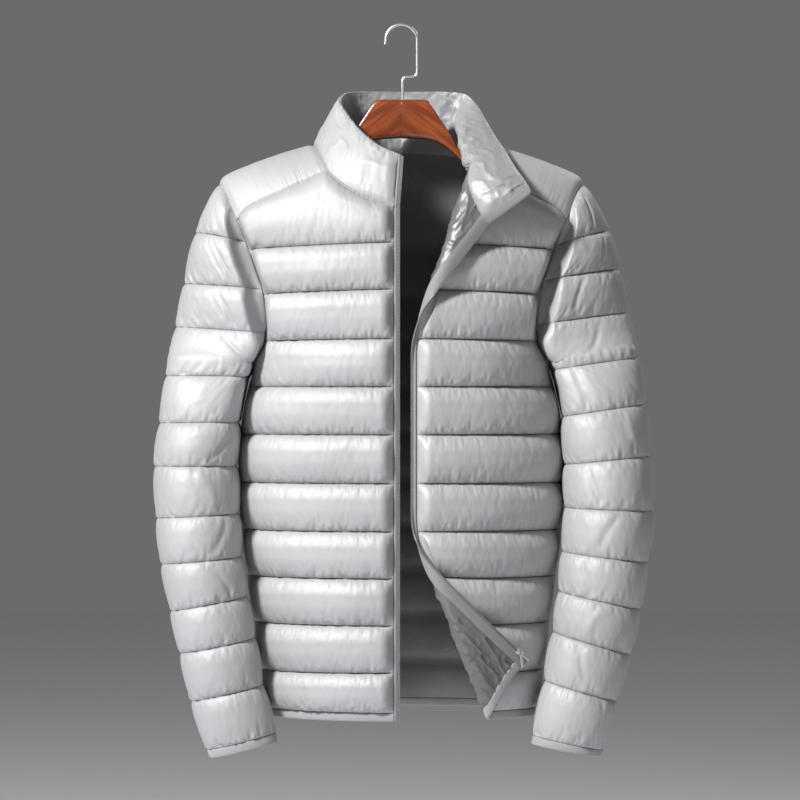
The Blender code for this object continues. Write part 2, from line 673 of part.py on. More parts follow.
def collar_half(side, shares):
    """Grid of a collar half: from the neck seam (share 0) to the top edge (1)."""
    seam, out = neck_stations(side)
    steps = np.linalg.norm(np.diff(seam, axis=0), axis=1)
    along = np.concatenate(([0], np.cumsum(steps))) / steps.sum()
    table = COLLAR_TOP[side]
    top = np.stack([lookup(table, "along", axis, along) for axis in "xyz"], axis=-1)
    swell = np.stack([lookup(table, "along", "swell_" + axis, along) for axis in "xyz"], axis=-1)
    share = np.asarray(shares, float)[:, None, None]
    grid = seam * (1 - share) + top * share + swell * 2 * share * (1 - share)
    return grid, out, along


COLLAR_SHARES = np.linspace(0, 1, 7)


def collar_grid():
    """The whole collar, from the right front end round the back to the left."""
    right, right_out, right_along = collar_half("right", COLLAR_SHARES)
    left, left_out, left_along = collar_half("left", COLLAR_SHARES)
    points = np.concatenate([right, left[:, -2::-1]], axis=1)
    seam_out = np.concatenate([right_out, left_out[-2::-1]])
    turned = np.concatenate([np.zeros_like(right_along),
                             1 - smooth_step((left_along[-2::-1] - .55) / .25)])
    return points, seam_out, turned


def make_collar(material):
    points, seam_out, turned = collar_grid()
    out = grid_normals(points, 1.0)
    out[0] = seam_out
    share = COLLAR_SHARES[:, None]
    puff = baffle(share, 0.7) * COLLAR_PUFF
    ends = np.ones(points.shape[1])
    ends[[0, -1]] = 0.0
    outer = CLOTH_HALF + puff * ends * (1 - 0.8 * turned)
    inner = CLOTH_HALF + puff * ends * 0.8 * turned
    points = draw_in(draw_in(points, ("first", "last")), ("top",), COLLAR_HALF)
    wall("collar", points, out, outer, inner, material)


def make_zip_tape(side, material):
    """Tape and teeth along a front's edge and on up the collar's end."""
    info = SIDES[side]
    rows = len(ROWS["front"])
    offsets = np.array([2 * SEAM_HALF, TEETH_START - 0.3, TEETH_START, TAPE_WIDTH])
    thick = np.array([TAPE_HALF, TAPE_HALF, TEETH_HALF, TEETH_HALF])
    down = np.linspace(rows, 0, rows * 3 + 1)[:, None]
    edge_x, edge_z = front_flat(side, np.zeros((1, 1)), down)
    x = edge_x - info["sign"] * offsets[None, :]
    z = np.broadcast_to(edge_z, x.shape)
    x = np.concatenate([x[:1], x])
    z = np.concatenate([z[:1] - HEM_BINDING + 1.0, z])
    points, out, _ = front_surface(side, x, z)
    collar_points, seam_out, _ = collar_grid()
    column, inward = (0, 1) if side == "right" else (-1, -2)
    end = collar_points[1:, column]
    reach = unit(end - collar_points[1:, inward])
    collar_out = grid_normals(collar_points, 1.0)[1:, column]
    more = end[:, None, :] + reach[:, None, :] * offsets[None, :, None]
    points = np.concatenate([points, more])
    out = np.concatenate([out, np.repeat(collar_out[:, None, :], len(offsets), axis=1)])
    wall("zip_tape_" + side, points, out, thick[None, :], thick[None, :], material)


# ------------------------------------------------------------ zip box, hanger
def make_zip_box(material):
    """The retainer box with the slider run down onto it, at the turned corner."""
    edge = SIDES["left"]["edge"] - TAPE_WIDTH - 0.3
    x = np.array([edge, edge - 1.0])
    z = np.full(2, CORNER_RISE - HEM_DROP - 2.0)
    points, out, _ = front_surface("left", x, z)
    upper, _, _ = front_surface("left", x[:1], z[:1] + 4.0)
    across = Vector(unit(points[1] - points[0]))
    facing = Vector(out[0])
    along = Vector(unit(upper[0] - points[0]))
    along = (along - facing * along.dot(facing)).normalized()
    across = along.cross(facing).normalized() * (1 if along.cross(facing).dot(across) > 0 else -1)
    size = Vector((5.0, 5.5, 15.0))
    centre = Vector(points[0]) + across * (size.x / 2 + 0.4) + along * 1.5
    bpy.ops.mesh.primitive_cube_add(size=1)
    box = bpy.context.object
    box.name = box.data.name = "zip_box"
    frame = Matrix((across, facing, along)).transposed()
    box.data.transform(Matrix.Diagonal((size * MM).to_4d()))
    box.matrix_world = Matrix.Translation(centre * MM) @ frame.to_4x4()
    if frame.determinant() < 0:
        box.data.flip_normals()
    box.data.materials.append(material)
    bevel = box.modifiers.new("rounded", "BEVEL")
    bevel.width = 0.8 * MM
    bevel.segments = 2
    for collection in list(box.users_collection):
        collection.objects.unlink(box)
    bpy.data.collections[COLLECTION].objects.link(box)


def make_hanger_body(material):
    """The wood: chamfered sections out along one arm, mirrored for the other."""
    mesh = bmesh.new()
    previous = None
    for x, top, bottom, half in zip(*(HANGER[key] for key in ("x", "top", "bottom", "half"))):
        cut = min(HANGER_CHAMFER, half / 2, (top - bottom) / 4)
        section = [(half, top - cut), (half - cut, top), (cut - half, top), (-half, top - cut),
                   (-half, bottom + cut), (cut - half, bottom), (half - cut, bottom),
                   (half, bottom + cut)]
        ring = [mesh.verts.new(Vector((x, y, z)) * MM) for y, z in section]
        if previous:
            for first in range(8):
                second = (first + 1) % 8
                mesh.faces.new((previous[first], previous[second], ring[second], ring[first]))
        previous = ring
    mesh.faces.new(previous)
    bmesh.ops.recalc_face_normals(mesh, faces=mesh.faces)
    data = bpy.data.meshes.new("hanger_body")
    mesh.to_mesh(data)
    mesh.free()
    body = add_object("hanger_body", data, material)
    mirror = body.modifiers.new("other arm", "MIRROR")
    mirror.use_axis = (True, False, False)
    mirror.merge_threshold = 0.00005
    bpy.ops.mesh.primitive_cylinder_add(vertices=16, radius=(WIRE / 2 + 0.35) * MM, depth=62 * MM)
    bore = bpy.context.object
    bore.name = "bore_cutter"
    bore.location = Vector((HOOK_SHANK_X, 0, -87.3)) * MM
    bore.hide_render = True
    bore.display_type = "WIRE"
    for collection in list(bore.users_collection):
        collection.objects.unlink(bore)
    bpy.data.collections["cutters"].objects.link(bore)
    drill = body.modifiers.new("bore", "BOOLEAN")
    drill.operation = "DIFFERENCE"
    drill.solver = "EXACT"
    drill.object = bore


def hook_path():
    """Middle line of the wire: shank, jog, riser and the round of the hook."""
    middle = -HOOK_RADIUS + WIRE / 2
    path = [(HOOK_SHANK_X, -118), (HOOK_SHANK_X, -90), (HOOK_SHANK_X, -66)]
    path += [(HOOK_SHANK_X + 4.5 * (1 - math.cos(math.radians(turn))),
              -66 + 6 * math.sin(math.radians(turn))) for turn in (45, 90)]
    path += [(HOOK_RADIUS - 5, -59.5)]
    path += [(HOOK_RADIUS - 5 + 5 * math.sin(math.radians(turn)),
              -54.5 - 5 * math.cos(math.radians(turn))) for turn in (30, 60, 90)]
    path += [(HOOK_RADIUS, -36)]
    path += [(HOOK_RADIUS * math.cos(math.radians(turn)),
              middle + HOOK_RADIUS * math.sin(math.radians(turn))) for turn in range(0, 181, 15)]
    path += [(-HOOK_RADIUS - 0.6, middle - 5)]
    return [Vector((x, 0, z)) * MM for x, z in path]


def make_hanger_hook(material):
    curve = bpy.data.curves.new("hanger_hook", "CURVE")
    curve.dimensions = "3D"
    curve.bevel_depth = WIRE / 2 * MM
    curve.bevel_resolution = 3
    curve.use_fill_caps = True
    path = hook_path()
    spline = curve.splines.new("POLY")
    spline.points.add(len(path) - 1)
    for point, place in zip(spline.points, path):
        point.co = (*place, 1)
    hook = bpy.data.objects.new("hanger_hook", curve)
    curve.materials.append(material)
    bpy.data.collections[COLLECTION].objects.link(hook)


# ---------------------------------------------------------------- materials
def make_material(name, colour, roughness, metallic=0.0):
    material = bpy.data.materials.new(name)
    material.use_nodes = True
    shader = material.node_tree.nodes["Principled BSDF"]
    shader.inputs["Base Color"].default_value = (*colour, 1)
    shader.inputs["Roughness"].default_value = roughness
    shader.inputs["Metallic"].default_value = metallic
    material.diffuse_color = (*colour, 1)
    return material


def clear_scene():
    for thing in list(bpy.data.objects):
        bpy.data.objects.remove(thing, do_unlink=True)
    for name in (COLLECTION, "cutters"):
        collection = bpy.data.collections.new(name)
        bpy.context.scene.collection.children.link(collection)


def main():
    clear_scene()
    shell = make_material("silver_nylon", (0.46, 0.47, 0.48), 0.42)
    binding = make_material("binding_elastic", (0.40, 0.41, 0.42), 0.55)
    tape = make_material("zip_tape", (0.34, 0.35, 0.36), 0.6)
    metal = make_material("brushed_metal", (0.62, 0.62, 0.63), 0.3, 1.0)
    wood = make_material("hanger_wood", (0.42, 0.13, 0.045), 0.35)
    for side in SIDES:
        make_front(side, shell)
        make_yoke(side, shell)
        make_sleeve(side, shell)
        make_cuff(side, binding)
        make_hem_front(side, binding)
        make_zip_tape(side, tape)
    make_back(shell)
    make_hem_back(binding)
    make_collar(shell)
    make_zip_box(metal)
    make_hanger_body(wood)
    make_hanger_hook(metal)


main()
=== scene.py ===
"""The looks of a quilted down jacket on a wooden hanger.

Lengths are worked out in millimetres, in the frame of the solids: the origin is the
inside top of the hanger's hook, +X is the wearer's left and -Y the front.  Each sewn
piece is a fine grid on the same surface as its solid.  The shell is blown up between
its rows of stitching by a cloth simulation, and closed behind by its lining.
"""

import math

import bpy
import numpy as np
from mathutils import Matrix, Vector


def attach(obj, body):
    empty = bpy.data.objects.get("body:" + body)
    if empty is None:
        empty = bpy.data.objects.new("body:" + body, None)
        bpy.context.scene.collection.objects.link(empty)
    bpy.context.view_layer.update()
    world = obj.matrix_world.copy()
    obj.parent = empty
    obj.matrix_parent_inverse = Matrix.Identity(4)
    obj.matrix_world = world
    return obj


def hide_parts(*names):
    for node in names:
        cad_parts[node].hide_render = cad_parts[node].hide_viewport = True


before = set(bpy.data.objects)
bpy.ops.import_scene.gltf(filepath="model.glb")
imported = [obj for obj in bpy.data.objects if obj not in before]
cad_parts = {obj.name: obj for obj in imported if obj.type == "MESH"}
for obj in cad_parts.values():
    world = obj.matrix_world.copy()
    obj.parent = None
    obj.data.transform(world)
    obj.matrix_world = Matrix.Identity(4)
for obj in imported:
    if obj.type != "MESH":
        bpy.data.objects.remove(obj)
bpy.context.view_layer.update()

MM = 0.001

# A strip is one row of quilting, simulated lying flat.  Its wrinkles go onto every panel.
STRIPS = 4
STRIP_LONG, STRIP_TALL = 322.0, 54.0
STRIP_STEP = 1.4            # spacing of the simulated threads
STRIP_PUFF = 9.0            # height before the simulation
STRIP_TAPER = 14.0
STRIP_END = 30.0            # how far the sewn end of a strip is felt
FRAMES = 18
SLACK = 0.01                # share of spare cloth in the middle of a row
GATHER = 0.12               # share of spare cloth beside a row of stitching
GATHER_REACH = 8.0
GATHER_STEPS = 20

# Filling and wrinkles of a row, by shares of its height.
TOP_ROUND, BOTTOM_ROUND = 0.32, 0.48
ROUND_POWER = 1.6
SAG = 0.1                   # how far the filling settles, as a share of its height
UNEVEN = 0.10               # how much fuller or emptier the filling is from place to place
TOP_GATHERS = 1.0           # strength of the puckers under a row of stitching and over one
BOTTOM_GATHERS = 2.4
CALM = 0.2                  # share of the puckers left in the middle of a row
PUCKER_REACH = 11.0
TURN_REACH = 6.0            # cloth beside the place where a strip is read backwards again

# Grids.
PER_BAFFLE, SLEEVE_PER_BAFFLE = 28, 24
FRONT_COLUMNS, BACK_COLUMNS, SLEEVE_COLUMNS = 141, 241, 201
YOKE_COLUMNS, YOKE_ROWS = 81, 57
COLLAR_ROWS = 33
COLLAR_STEP = 2.0
NECK_COLUMNS, SHOULDER_COLUMNS = 60, 80
LINING_STEP = 4             # the lining has every fourth point, where it lies smooth

# Heights that the panels are blown up to, and where they are flatter.
FRONT_PUFF = 13.0
SLEEVE_PUFF = 8.5
YOKE_PUFF = 4.0
COLLAR_PUFF = 5.5
BACK_INNER_PUFF = 3.0
FRONT_INNER_PUFF = 0.1
YOKE_INNER, SLEEVE_INNER = 0.3, 0.2     # the inside's height, as a share of the outside's
COLLAR_INNER, COLLAR_INNER_TURNED = 0.3, 0.5
COLLAR_TURNED_FLAT = 0.6
COLLAR_TURN_AT, COLLAR_TURN_WIDE = 0.55, 0.25
UNDERARM_PUFF = 2.5
UNDERARM_ROWS = 1.5         # rows above the underarm over which the inner side flattens
OUTLINE_FLAT = 0.65         # how much flatter the baffles are along a sleeve's outer edge
OUTLINE_WIDE = 0.13
FOLD_CRUSH = 0.7            # how much flatter a front is where it is folded over
SLEEVE_PRESS = 0.45         # how much flatter the body is where a sleeve lies against it
PRESS_FRONT, PRESS_BACK = 0.8, 0.85     # shares of a panel's width past which it lies there
PRESS_TOP, PRESS_FADE = 330.0, 60.0
SIDE_TAPER = 14.0
YOKE_TAPER = 10.0
COLLAR_TAPER = 12.0
LINING_MARGIN = 20.0

# Wrinkles, creases and dents.
SLEEVE_WRINKLE = 1.1
YOKE_WRINKLE = 0.5
COLLAR_WRINKLE = 0.8
LINING_WRINKLE = 0.6
LINING_CREASE = 2.2
COLLAR_CREASE = 1.2
FINE_CREASES = 0.6          # height of the fine creases beside the wide ones
CREASE_MIDDLE = 0.4         # what is taken off creases so that they go both ways
COLLAR_MIDDLE = 0.3
FOLD_ENDS = 12.0
FOLD_BOW = 0.06             # how far a fold bows out, as a share of its length
VALLEY_DEPTH = 24.0         # how far the cloth falls back beside the front of an armhole
VALLEY_REACH, SLEEVE_VALLEY_REACH = 7.0, 16.0
VALLEY_TOP, VALLEY_FADE = 218.0, 45.0
UNDERARM_DENT = 9.0
UNDERARM_DENT_AT = 0.055
UNDERARM_DENT_WIDE = 0.045
UNDERARM_DENT_UP, UNDERARM_DENT_TALL = 0.2, 0.9

# Cloth, bindings, zip, thread and hanger.
CLOTH_HALF = 1.2
BINDING_HALF = 2.0
SLEEVE_LAP = 2.6            # a sleeve's seam lies this far over the body's at the underarm
LAP_TOP, LAP_FULL = 195.0, 330.0
SLEEVE_ROUND = 370.0        # about how far it is round a sleeve
ROW_TALL = 54.0
SHOULDER_DROP = 70.0
HEM_DROP = 800.0
HEM_BINDING = 10.0
HEM_HALF_WIDTH = 165.0
EDGE_GAP = 0.2              # between a trim and the cloth's last row or its face
TAPE_WIDTH = 7.4
TAPE_SHORT = 1.0            # the tape ends this far short of the hem, and the teeth of the tape
TEETH_START = 5.0
TOOTH_PITCH = 1.6
TOOTH_HIGH = 1.1
TOOTH_TIP = 0.8             # height of a tooth at its tip, as a share of its foot
TOOTH_THICK = 0.36
SLIDER_AT = 17.0            # how far up the zip its slider stands
PIN_LONG = 13.0
ZIP_POINTS = 14             # points down each row of quilting
STITCH_PITCH, STITCH_LONG = 3.6, 2.6
STITCH_WIDE, STITCH_HIGH = 0.32, 0.3
PIPING = 1.7
PIPING_STEP = 2.0
SHARP = 50.0                # edges sharper than this many degrees stay crisp
HANGER_STEP = 4.0
HANGER_SIDES = 28
WIRE = 4.0
HOOK_RADIUS = 18.5
HOOK_SHANK_X = 1.3
HOOK_FOOT, HOOK_JOG = -118.0, -66.0

TORSO = {
    "drop":        [130, 190, 250, 300, 350, 396, 430, 475, 520, 576, 640, 700, 780, 815],
    "half_width":  [238, 236, 224, 208, 191, 172, 180, 188, 191, 189, 182, 174, 165, 161],
    "front_depth": [56, 82, 103, 112, 116, 118, 119, 119, 119, 119, 118, 117, 115, 114],
    "back_depth":  [58, 74, 84, 89, 92, 94, 95, 96, 96, 97, 97, 96, 95, 95],
}
RIDGE = {
    "x": [0, 60, 104, 140, 180, 205, 218, 236],
    "z": [-112, -127, -144, -155, -169.5, -181, -193, -216],
}
ARMHOLE = {
    "drop":  [188, 200, 214, 232, 262, 288, 318, 352, 375, 388, 396],
    "front": [214, 210, 203, 191, 179, 169, 160, 157, 161, 167, 172],
    "back":  [214, 210, 205, 199, 190, 185, 180, 176, 173.5, 172.3, 172],
}
UNDERARM_DROP = 396.0
UNDERARM_FLAT, UNDERARM_FLAT_ROWS = 0.7, 2.5
SHOULDER_X = 214.0
YOKE_SEAM = {
    "x":     [74, 88, 118, 147, 175, 191],
    "front": [-171, -179, -190, -203, -216, -231],
    "back":  [-151.5, -154, -174, -190, -209, -231],
}
SIDES = {
    "right": {"sign": -1, "edge": 9.0, "neck_half": 102.0, "front_join": 86.0, "back_join": 88.0},
    "left":  {"sign": 1, "edge": 18.0, "neck_half": 88.0, "front_join": 74.0, "back_join": 76.0},
}
NECK_FRONT_DROP = 219.0
NECK_CURVE = 1.65
BACK_NECK_DROP = 146.0
BACK_NECK_DIP = 8.0
JOIN_FADE = 30.0            # how soon past the neck's corner a panel's top is on the yoke's seam
ROWS = {
    "front": [260, 314, 371, 426, 481, 537, 592, 646, 700, 754, HEM_DROP],
    "side":  [266, 318, 372, 426, 481, 537, 592, 646, 700, 756, HEM_DROP],
}
LAPEL = {"x": 69.0, "z": -204.0, "down_x": -53.4, "down_z": -156.8, "radius": 11.5, "turn": 180.0}
CORNER = {"x": 19.0, "z": -609.0, "down_x": 75.0, "down_z": -195.0, "radius": 11.0, "turn": 176.0}
CORNER_RISE = 24.0
CORNER_REACH = 95.0
FOLDS_MEET = -500.0
SLEEVES = {
    "right": {
        "outer_x":    [214, 240, 253, 263, 273, 280, 285.5, 282.5, 276.5, 265.5, 254.5, 241.5,
                       223.5, 220],
        "outer_drop": [188, 245, 305, 356, 413, 468, 518, 578, 631, 685, 734, 789, 845, 855],
        "inner_x":    [191, 184, 166, 158, 185, 192, 193.5, 191, 187.5, 181.5, 172, 162.5,
                       147.5, 145],
        "inner_drop": [231, 257, 312, 362, 414, 467, 518, 573, 623, 669, 717, 771, 826, 837],
        "centre_y":   [0, -6, -10, -13, -20, -34, -44, -53, -60, -65, -69, -72, -74, -75],
        "half_depth": [20, 34, 50, 56, 58, 57, 55, 53, 49, 44, 39, 34, 29, 28],
    },
    "left": {
        "outer_x":    [214, 243, 254, 265, 275, 284, 289, 291.5, 284, 275, 263, 248, 232, 229],
        "outer_drop": [188, 243, 288, 339, 392, 446, 506, 570, 629, 683, 735, 789, 845, 853],
        "inner_x":    [191, 182, 170, 158, 185, 190.5, 192, 192.5, 189, 185, 178, 167.5, 154, 152],
        "inner_drop": [231, 260, 302, 353, 406, 460, 516, 566, 617, 663, 710, 766, 829, 839],
        "centre_y":   [0, -6, -10, -13, -20, -34, -44, -53, -60, -65, -69, -72, -74, -75],
        "half_depth": [20, 34, 48, 56, 58, 58, 57, 55, 50, 45, 40, 35, 30, 29],
    },
}
CUFF_ROW = 12
SETTLE_START, SETTLE_ROUNDS = -200.0, 60
COLLAR_TOP = {
    "right": {
        "along":   [0, .10, .22, .36, .54, .70, .85, 1],
        "x":       [-4, -25, -45, -60, -72, -66, -40, 0],
        "y":       [-73, -67, -52, -31, -3, 25, 45, 51],
        "z":       [-156, -146, -129, -110, -88, -77, -73, -73],
        "swell_x": [0, 0, 2, 4, 5, 4, 0, 0],
        "swell_y": [-6, -6, -4, -2, 0, 4, 8, 10],
        "swell_z": [0, 0, 0, 0, 0, 0, 0, 0],
    },
    "left": {
        "along":   [0, .10, .22, .34, .46, .57, .67, .78, .89, 1],
        "x":       [147, 142, 132, 121, 110, 99, 89, 73, 40, 0],
        "y":       [-110, -97, -74, -46, -22, 0, 20, 37, 47, 51],
        "z":       [-199, -189, -173, -151, -132, -110, -91, -76, -73, -73],
        "swell_x": [0, 0, -10, -34, -46, -50, -36, -8, 0, 0],
        "swell_y": [-16, -20, -16, 0, 6, 8, 2, 4, 8, 10],
        "swell_z": [0, 0, 4, 14, 18, 18, 16, 4, 0, 0],
    },
}
# Half of the hanger's wood: top and bottom edges and half thickness.
HANGER = {
    "x":      [0, 24, 31, 38, 45, 57, 71, 86, 104, 140, 180, 196, 203],
    "top":    [-87, -87, -88, -97, -108, -127, -147, -151, -147, -158, -172.5, -181, -187],
    "bottom": [-132, -133.5, -134.5, -136, -139, -147, -160, -171, -176, -180, -190, -194, -193],
    "half":   [12, 12, 12, 12, 12, 12, 11.5, 11, 10.5, 9.5, 8.5, 8, 6],
}
# Section of the zip's tape: distance out from the panel's edge, and height.
TAPE_SECTION = [(0.4, 0.2), (0.9, 1.2), (2.0, 1.8), (3.2, 1.5), (4.0, 0.5), (5.2, 0.3),
                (5.2, -0.4), (2.8, -1.2), (0.2, -2.2), (-3.0, -2.9), (-5.5, -3.0),
                (-5.6, -2.3), (-2.8, -2.2), (0.1, -1.4)]
FOLD_KEYS = ("from_around", "from_down", "to_around", "to_down", "height", "width")
SLEEVE_FOLDS = {
    "right": {
        "from_around": [.24, .28, .24, .28, .21, .19, .30, .13, .24, .14, .22, .78, .72],
        "from_down":   [1.1, 1.1, 2.1, 2.1, 3.1, 4.1, 4.1, 5.1, 6.1, 7.1, 8.1, 2.2, 5.2],
        "to_around":   [.15, .20, .15, .21, .14, .13, .26, .20, .18, .21, .15, .84, .80],
        "to_down":     [1.8, 1.7, 2.9, 2.7, 3.9, 4.8, 4.6, 5.9, 6.8, 7.9, 8.8, 2.8, 5.9],
        "height":      [-2.2, -1.6, -2.4, -1.5, -2.0, -2.2, 1.2, -2.0, 1.6, -1.8, -1.6, -2.0,
                        -2.0],
        "width":       [4.5, 4.0, 5.0, 4.0, 4.5, 5.0, 6.0, 4.5, 6.0, 5.0, 4.5, 5.0, 5.0],
    },
    "left": {
        "from_around": [.30, .34, .22, .30, .24, .32, .18, .27, .16, .26, .20, .80, .70],
        "from_down":   [0.4, 1.2, 2.1, 3.1, 4.1, 5.1, 6.1, 7.1, 8.1, 9.1, 10.1, 3.2, 6.2],
        "to_around":   [.27, .33, .17, .27, .20, .34, .22, .22, .22, .21, .25, .85, .77],
        "to_down":     [0.9, 1.8, 2.8, 3.8, 4.9, 5.7, 6.9, 7.8, 8.9, 9.8, 10.8, 3.9, 6.8],
        "height":      [-1.6, -1.4, -1.8, -1.5, -1.8, 1.2, -2.0, -1.6, -1.8, 1.4, -1.6, -2.0,
                        -2.0],
        "width":       [4.5, 4.5, 5.0, 4.5, 5.0, 6.0, 4.5, 4.5, 5.0, 6.0, 4.5, 5.0, 5.0],
    },
}


# ----------------------------------------------------------------------- tables
def lookup(table, key, column, at):
    """Read a column smoothly between its rows, without overshooting them."""
    keys = np.asarray(table[key], dtype=float)
    values = np.asarray(table[column], dtype=float)
    slopes = np.diff(values) / np.diff(keys)
    before, after = slopes[:-1], slopes[1:]
    same_way = before * after > 0
    total = np.where(same_way, before + after, 1.0)
    middle = np.where(same_way, 2 * before * after / total, 0.0)
    tangents = np.concatenate(([slopes[0]], middle, [slopes[-1]]))
    at = np.clip(np.asarray(at, dtype=float), keys[0], keys[-1])
    row = np.clip(np.searchsorted(keys, at, side="right") - 1, 0, len(keys) - 2)
    width = keys[row + 1] - keys[row]
    part = (at - keys[row]) / width
    square, cube = part ** 2, part ** 3
    return ((2 * cube - 3 * square + 1) * values[row]
            + (cube - 2 * square + part) * width * tangents[row]
            + (3 * square - 2 * cube) * values[row + 1]
            + (cube - square) * width * tangents[row + 1])


def smooth_step(value):
    value = np.clip(value, 0.0, 1.0)
    return value * value * (3 - 2 * value)


def unit(vectors):
    length = np.linalg.norm(vectors, axis=-1, keepdims=True)
    return vectors / np.maximum(length, 1e-9)


def spread_out(*values):
    """Rows, columns or single numbers as grids of the same shape."""
    return np.broadcast_arrays(*(np.asarray(value, float) for value in values))


def row_of(start, end, count):
    """Even values as one row, to be spread over a grid."""
    return np.linspace(start, end, count)[None, :]


def column_of(start, end, count):
    """Even values as one column, to be spread over a grid."""
    return np.linspace(start, end, count)[:, None]


# ------------------------------------------------------ surfaces, as the solids
def ridge(x):
    return lookup(RIDGE, "x", "z", np.abs(x))


def depth_square(x, z, face):
    depth = lookup(TORSO, "drop", face + "_depth", -z)
    half_width = lookup(TORSO, "drop", "half_width", -z)
    below = np.clip((ridge(x) - z) / SHOULDER_DROP, 0.0, 1.0)
    return depth ** 2 * below * (2 - below) * np.clip(1 - (x / half_width) ** 2, 0.0, None)


def torso_surface(x, z, face):
    """Points of the body's surface, and the way out of it."""
    sign = -1.0 if face == "front" else 1.0
    step = 0.5
    y = sign * np.sqrt(depth_square(x, z, face))
    slope_x = (depth_square(x + step, z, face) - depth_square(x - step, z, face)) / (2 * step)
    slope_z = (depth_square(x, z + step, face) - depth_square(x, z - step, face)) / (2 * step)
    return np.stack([x, y, z], axis=-1), unit(np.stack([-slope_x, 2 * y, -slope_z], axis=-1))


def side_edge(z, face):
    """How far out a panel reaches at each height: to its armhole, or to the side seam."""
    armhole = lookup(ARMHOLE, "drop", face, -z)
    side_seam = lookup(TORSO, "drop", "half_width", -z)
    return np.where(-z < UNDERARM_DROP, armhole, side_seam)


def neckline(x, side):
    half = SIDES[side]["neck_half"]
    corner = ridge(half)
    part = np.clip(np.abs(x) / half, 0.0, 1.0)
    return corner - (NECK_FRONT_DROP + corner) * (1 - part ** NECK_CURVE) ** (1 / NECK_CURVE)


def front_top(x, side):
    join = SIDES[side]["front_join"]
    yoke = lookup(YOKE_SEAM, "x", "front", np.abs(x))
    gap = neckline(join, side) - lookup(YOKE_SEAM, "x", "front", join)
    settle = 1 - smooth_step((np.abs(x) - join) / JOIN_FADE)
    return np.where(np.abs(x) < join, neckline(x, side), yoke + gap * settle)


def back_top(x):
    join = np.where(x < 0, SIDES["right"]["back_join"], SIDES["left"]["back_join"])
    neck = -BACK_NECK_DROP - BACK_NECK_DIP * (x / SIDES["right"]["back_join"]) ** 2
    at_join = -BACK_NECK_DROP - BACK_NECK_DIP * (join / SIDES["right"]["back_join"]) ** 2
    gap = at_join - lookup(YOKE_SEAM, "x", "back", join)
    settle = 1 - smooth_step((np.abs(x) - join) / JOIN_FADE)
    yoke = lookup(YOKE_SEAM, "x", "back", np.abs(x))
    return np.where(np.abs(x) < join, neck, yoke + gap * settle)


def settle_column(across, edge, face, top):
    """Heights of a panel's top edge, whose width depends on its own height."""
    z = np.full_like(across, SETTLE_START)
    for _ in range(SETTLE_ROUNDS):
        x = edge + (side_edge(z, face) - edge) * across
        z = 0.5 * z + 0.5 * top(x)
    return z


def join_column(side):
    """Share across a front at which its top leaves the neck."""
    edge, join = SIDES[side]["edge"], SIDES[side]["front_join"]
    z = front_top(np.array(join), side)
    return float((join - edge) / (side_edge(z, "front") - edge))


def back_join_column(side):
    """Share across the back at which its top leaves the neck."""
    join = SIDES[side]["back_join"]
    return join / float(side_edge(back_top(np.array(join)), "back"))


def corner_rise(inward, z):
    """How much higher the left front hangs at its lower corner."""
    return (CORNER_RISE * (1 - smooth_step(inward / CORNER_REACH))
            * smooth_step((CORNER["z"] - z) / (HEM_DROP + CORNER["z"])))


def pick_level(levels, down):
    """Heights at rows down, read between the rows of stitching."""
    row = np.clip(down.astype(int), 0, len(levels) - 2)
    upper = np.take_along_axis(levels, row[None], axis=0)[0]
    lower = np.take_along_axis(levels, row[None] + 1, axis=0)[0]
    return upper + (lower - upper) * (down - row)


def front_flat(side, across, down):
    """A front as it lies closed: x and z for shares across and rows down."""
    edge = SIDES[side]["edge"]
    across, down = spread_out(across, down)
    share = np.clip(across[:1], 0, 1)
    top = settle_column(share, edge, "front", lambda x: front_top(x, side))
    levels = [top] + [-(front + (outer - front) * share)
                      for front, outer in zip(ROWS["front"], ROWS["side"])]
    levels = np.stack(levels)
    if side == "left":
        levels[1:] += corner_rise(across[:1] * HEM_HALF_WIDTH, levels[1:])
    levels = np.broadcast_to(levels, (len(levels),) + across.shape)
    z = pick_level(levels, down)
    x = edge + (side_edge(z, "front") - edge) * across
    return SIDES[side]["sign"] * x, z


def roll_over(x, z, fold):
    """Roll what lies past a fold line over onto the outside of the front."""
    length = math.hypot(fold["down_x"], fold["down_z"])
    down = np.array([fold["down_x"], fold["down_z"]]) / length
    past = np.array([down[1], -down[0]])
    if past[0] > 0:
        past = -past
    radius, turn = fold["radius"], math.radians(fold["turn"])
    away = (x - fold["x"]) * past[0] + (z - fold["z"]) * past[1]
    along = (x - fold["x"]) * down[0] + (z - fold["z"]) * down[1]
    angle = np.clip((away + radius) / radius, 0.0, turn)
    rest = np.maximum(away + radius - turn * radius, 0.0)
    bent = -radius + radius * np.sin(angle) + rest * np.cos(angle)
    rolled = np.where(away > -radius, bent, away)
    lift = radius * (1 - np.cos(angle)) + rest * np.sin(angle)
    new_x = fold["x"] + along * down[0] + rolled * past[0]
    new_z = fold["z"] + along * down[1] + rolled * past[1]
    return new_x, new_z, lift, angle, past


def front_surface(side, x, z):
    """Points, outward directions and how far the cloth is rolled over."""
    if side == "right":
        points, out = torso_surface(x, z, "front")
        return points, out, np.zeros_like(x)
    lapel, corner = roll_over(x, z, LAPEL), roll_over(x, z, CORNER)
    upper = z > FOLDS_MEET
    new_x, new_z, lift, angle = (np.where(upper, a, b) for a, b in zip(lapel[:4], corner[:4]))
    past = np.where(upper[..., None], lapel[4], corner[4])
    points, out = torso_surface(new_x, new_z, "front")
    sideways = np.stack([past[..., 0], np.zeros_like(x), past[..., 1]], axis=-1)
    sideways = unit(sideways - out * np.sum(sideways * out, axis=-1, keepdims=True))
    turned = out * np.cos(angle)[..., None] - sideways * np.sin(angle)[..., None]
    return points + out * lift[..., None], turned, angle


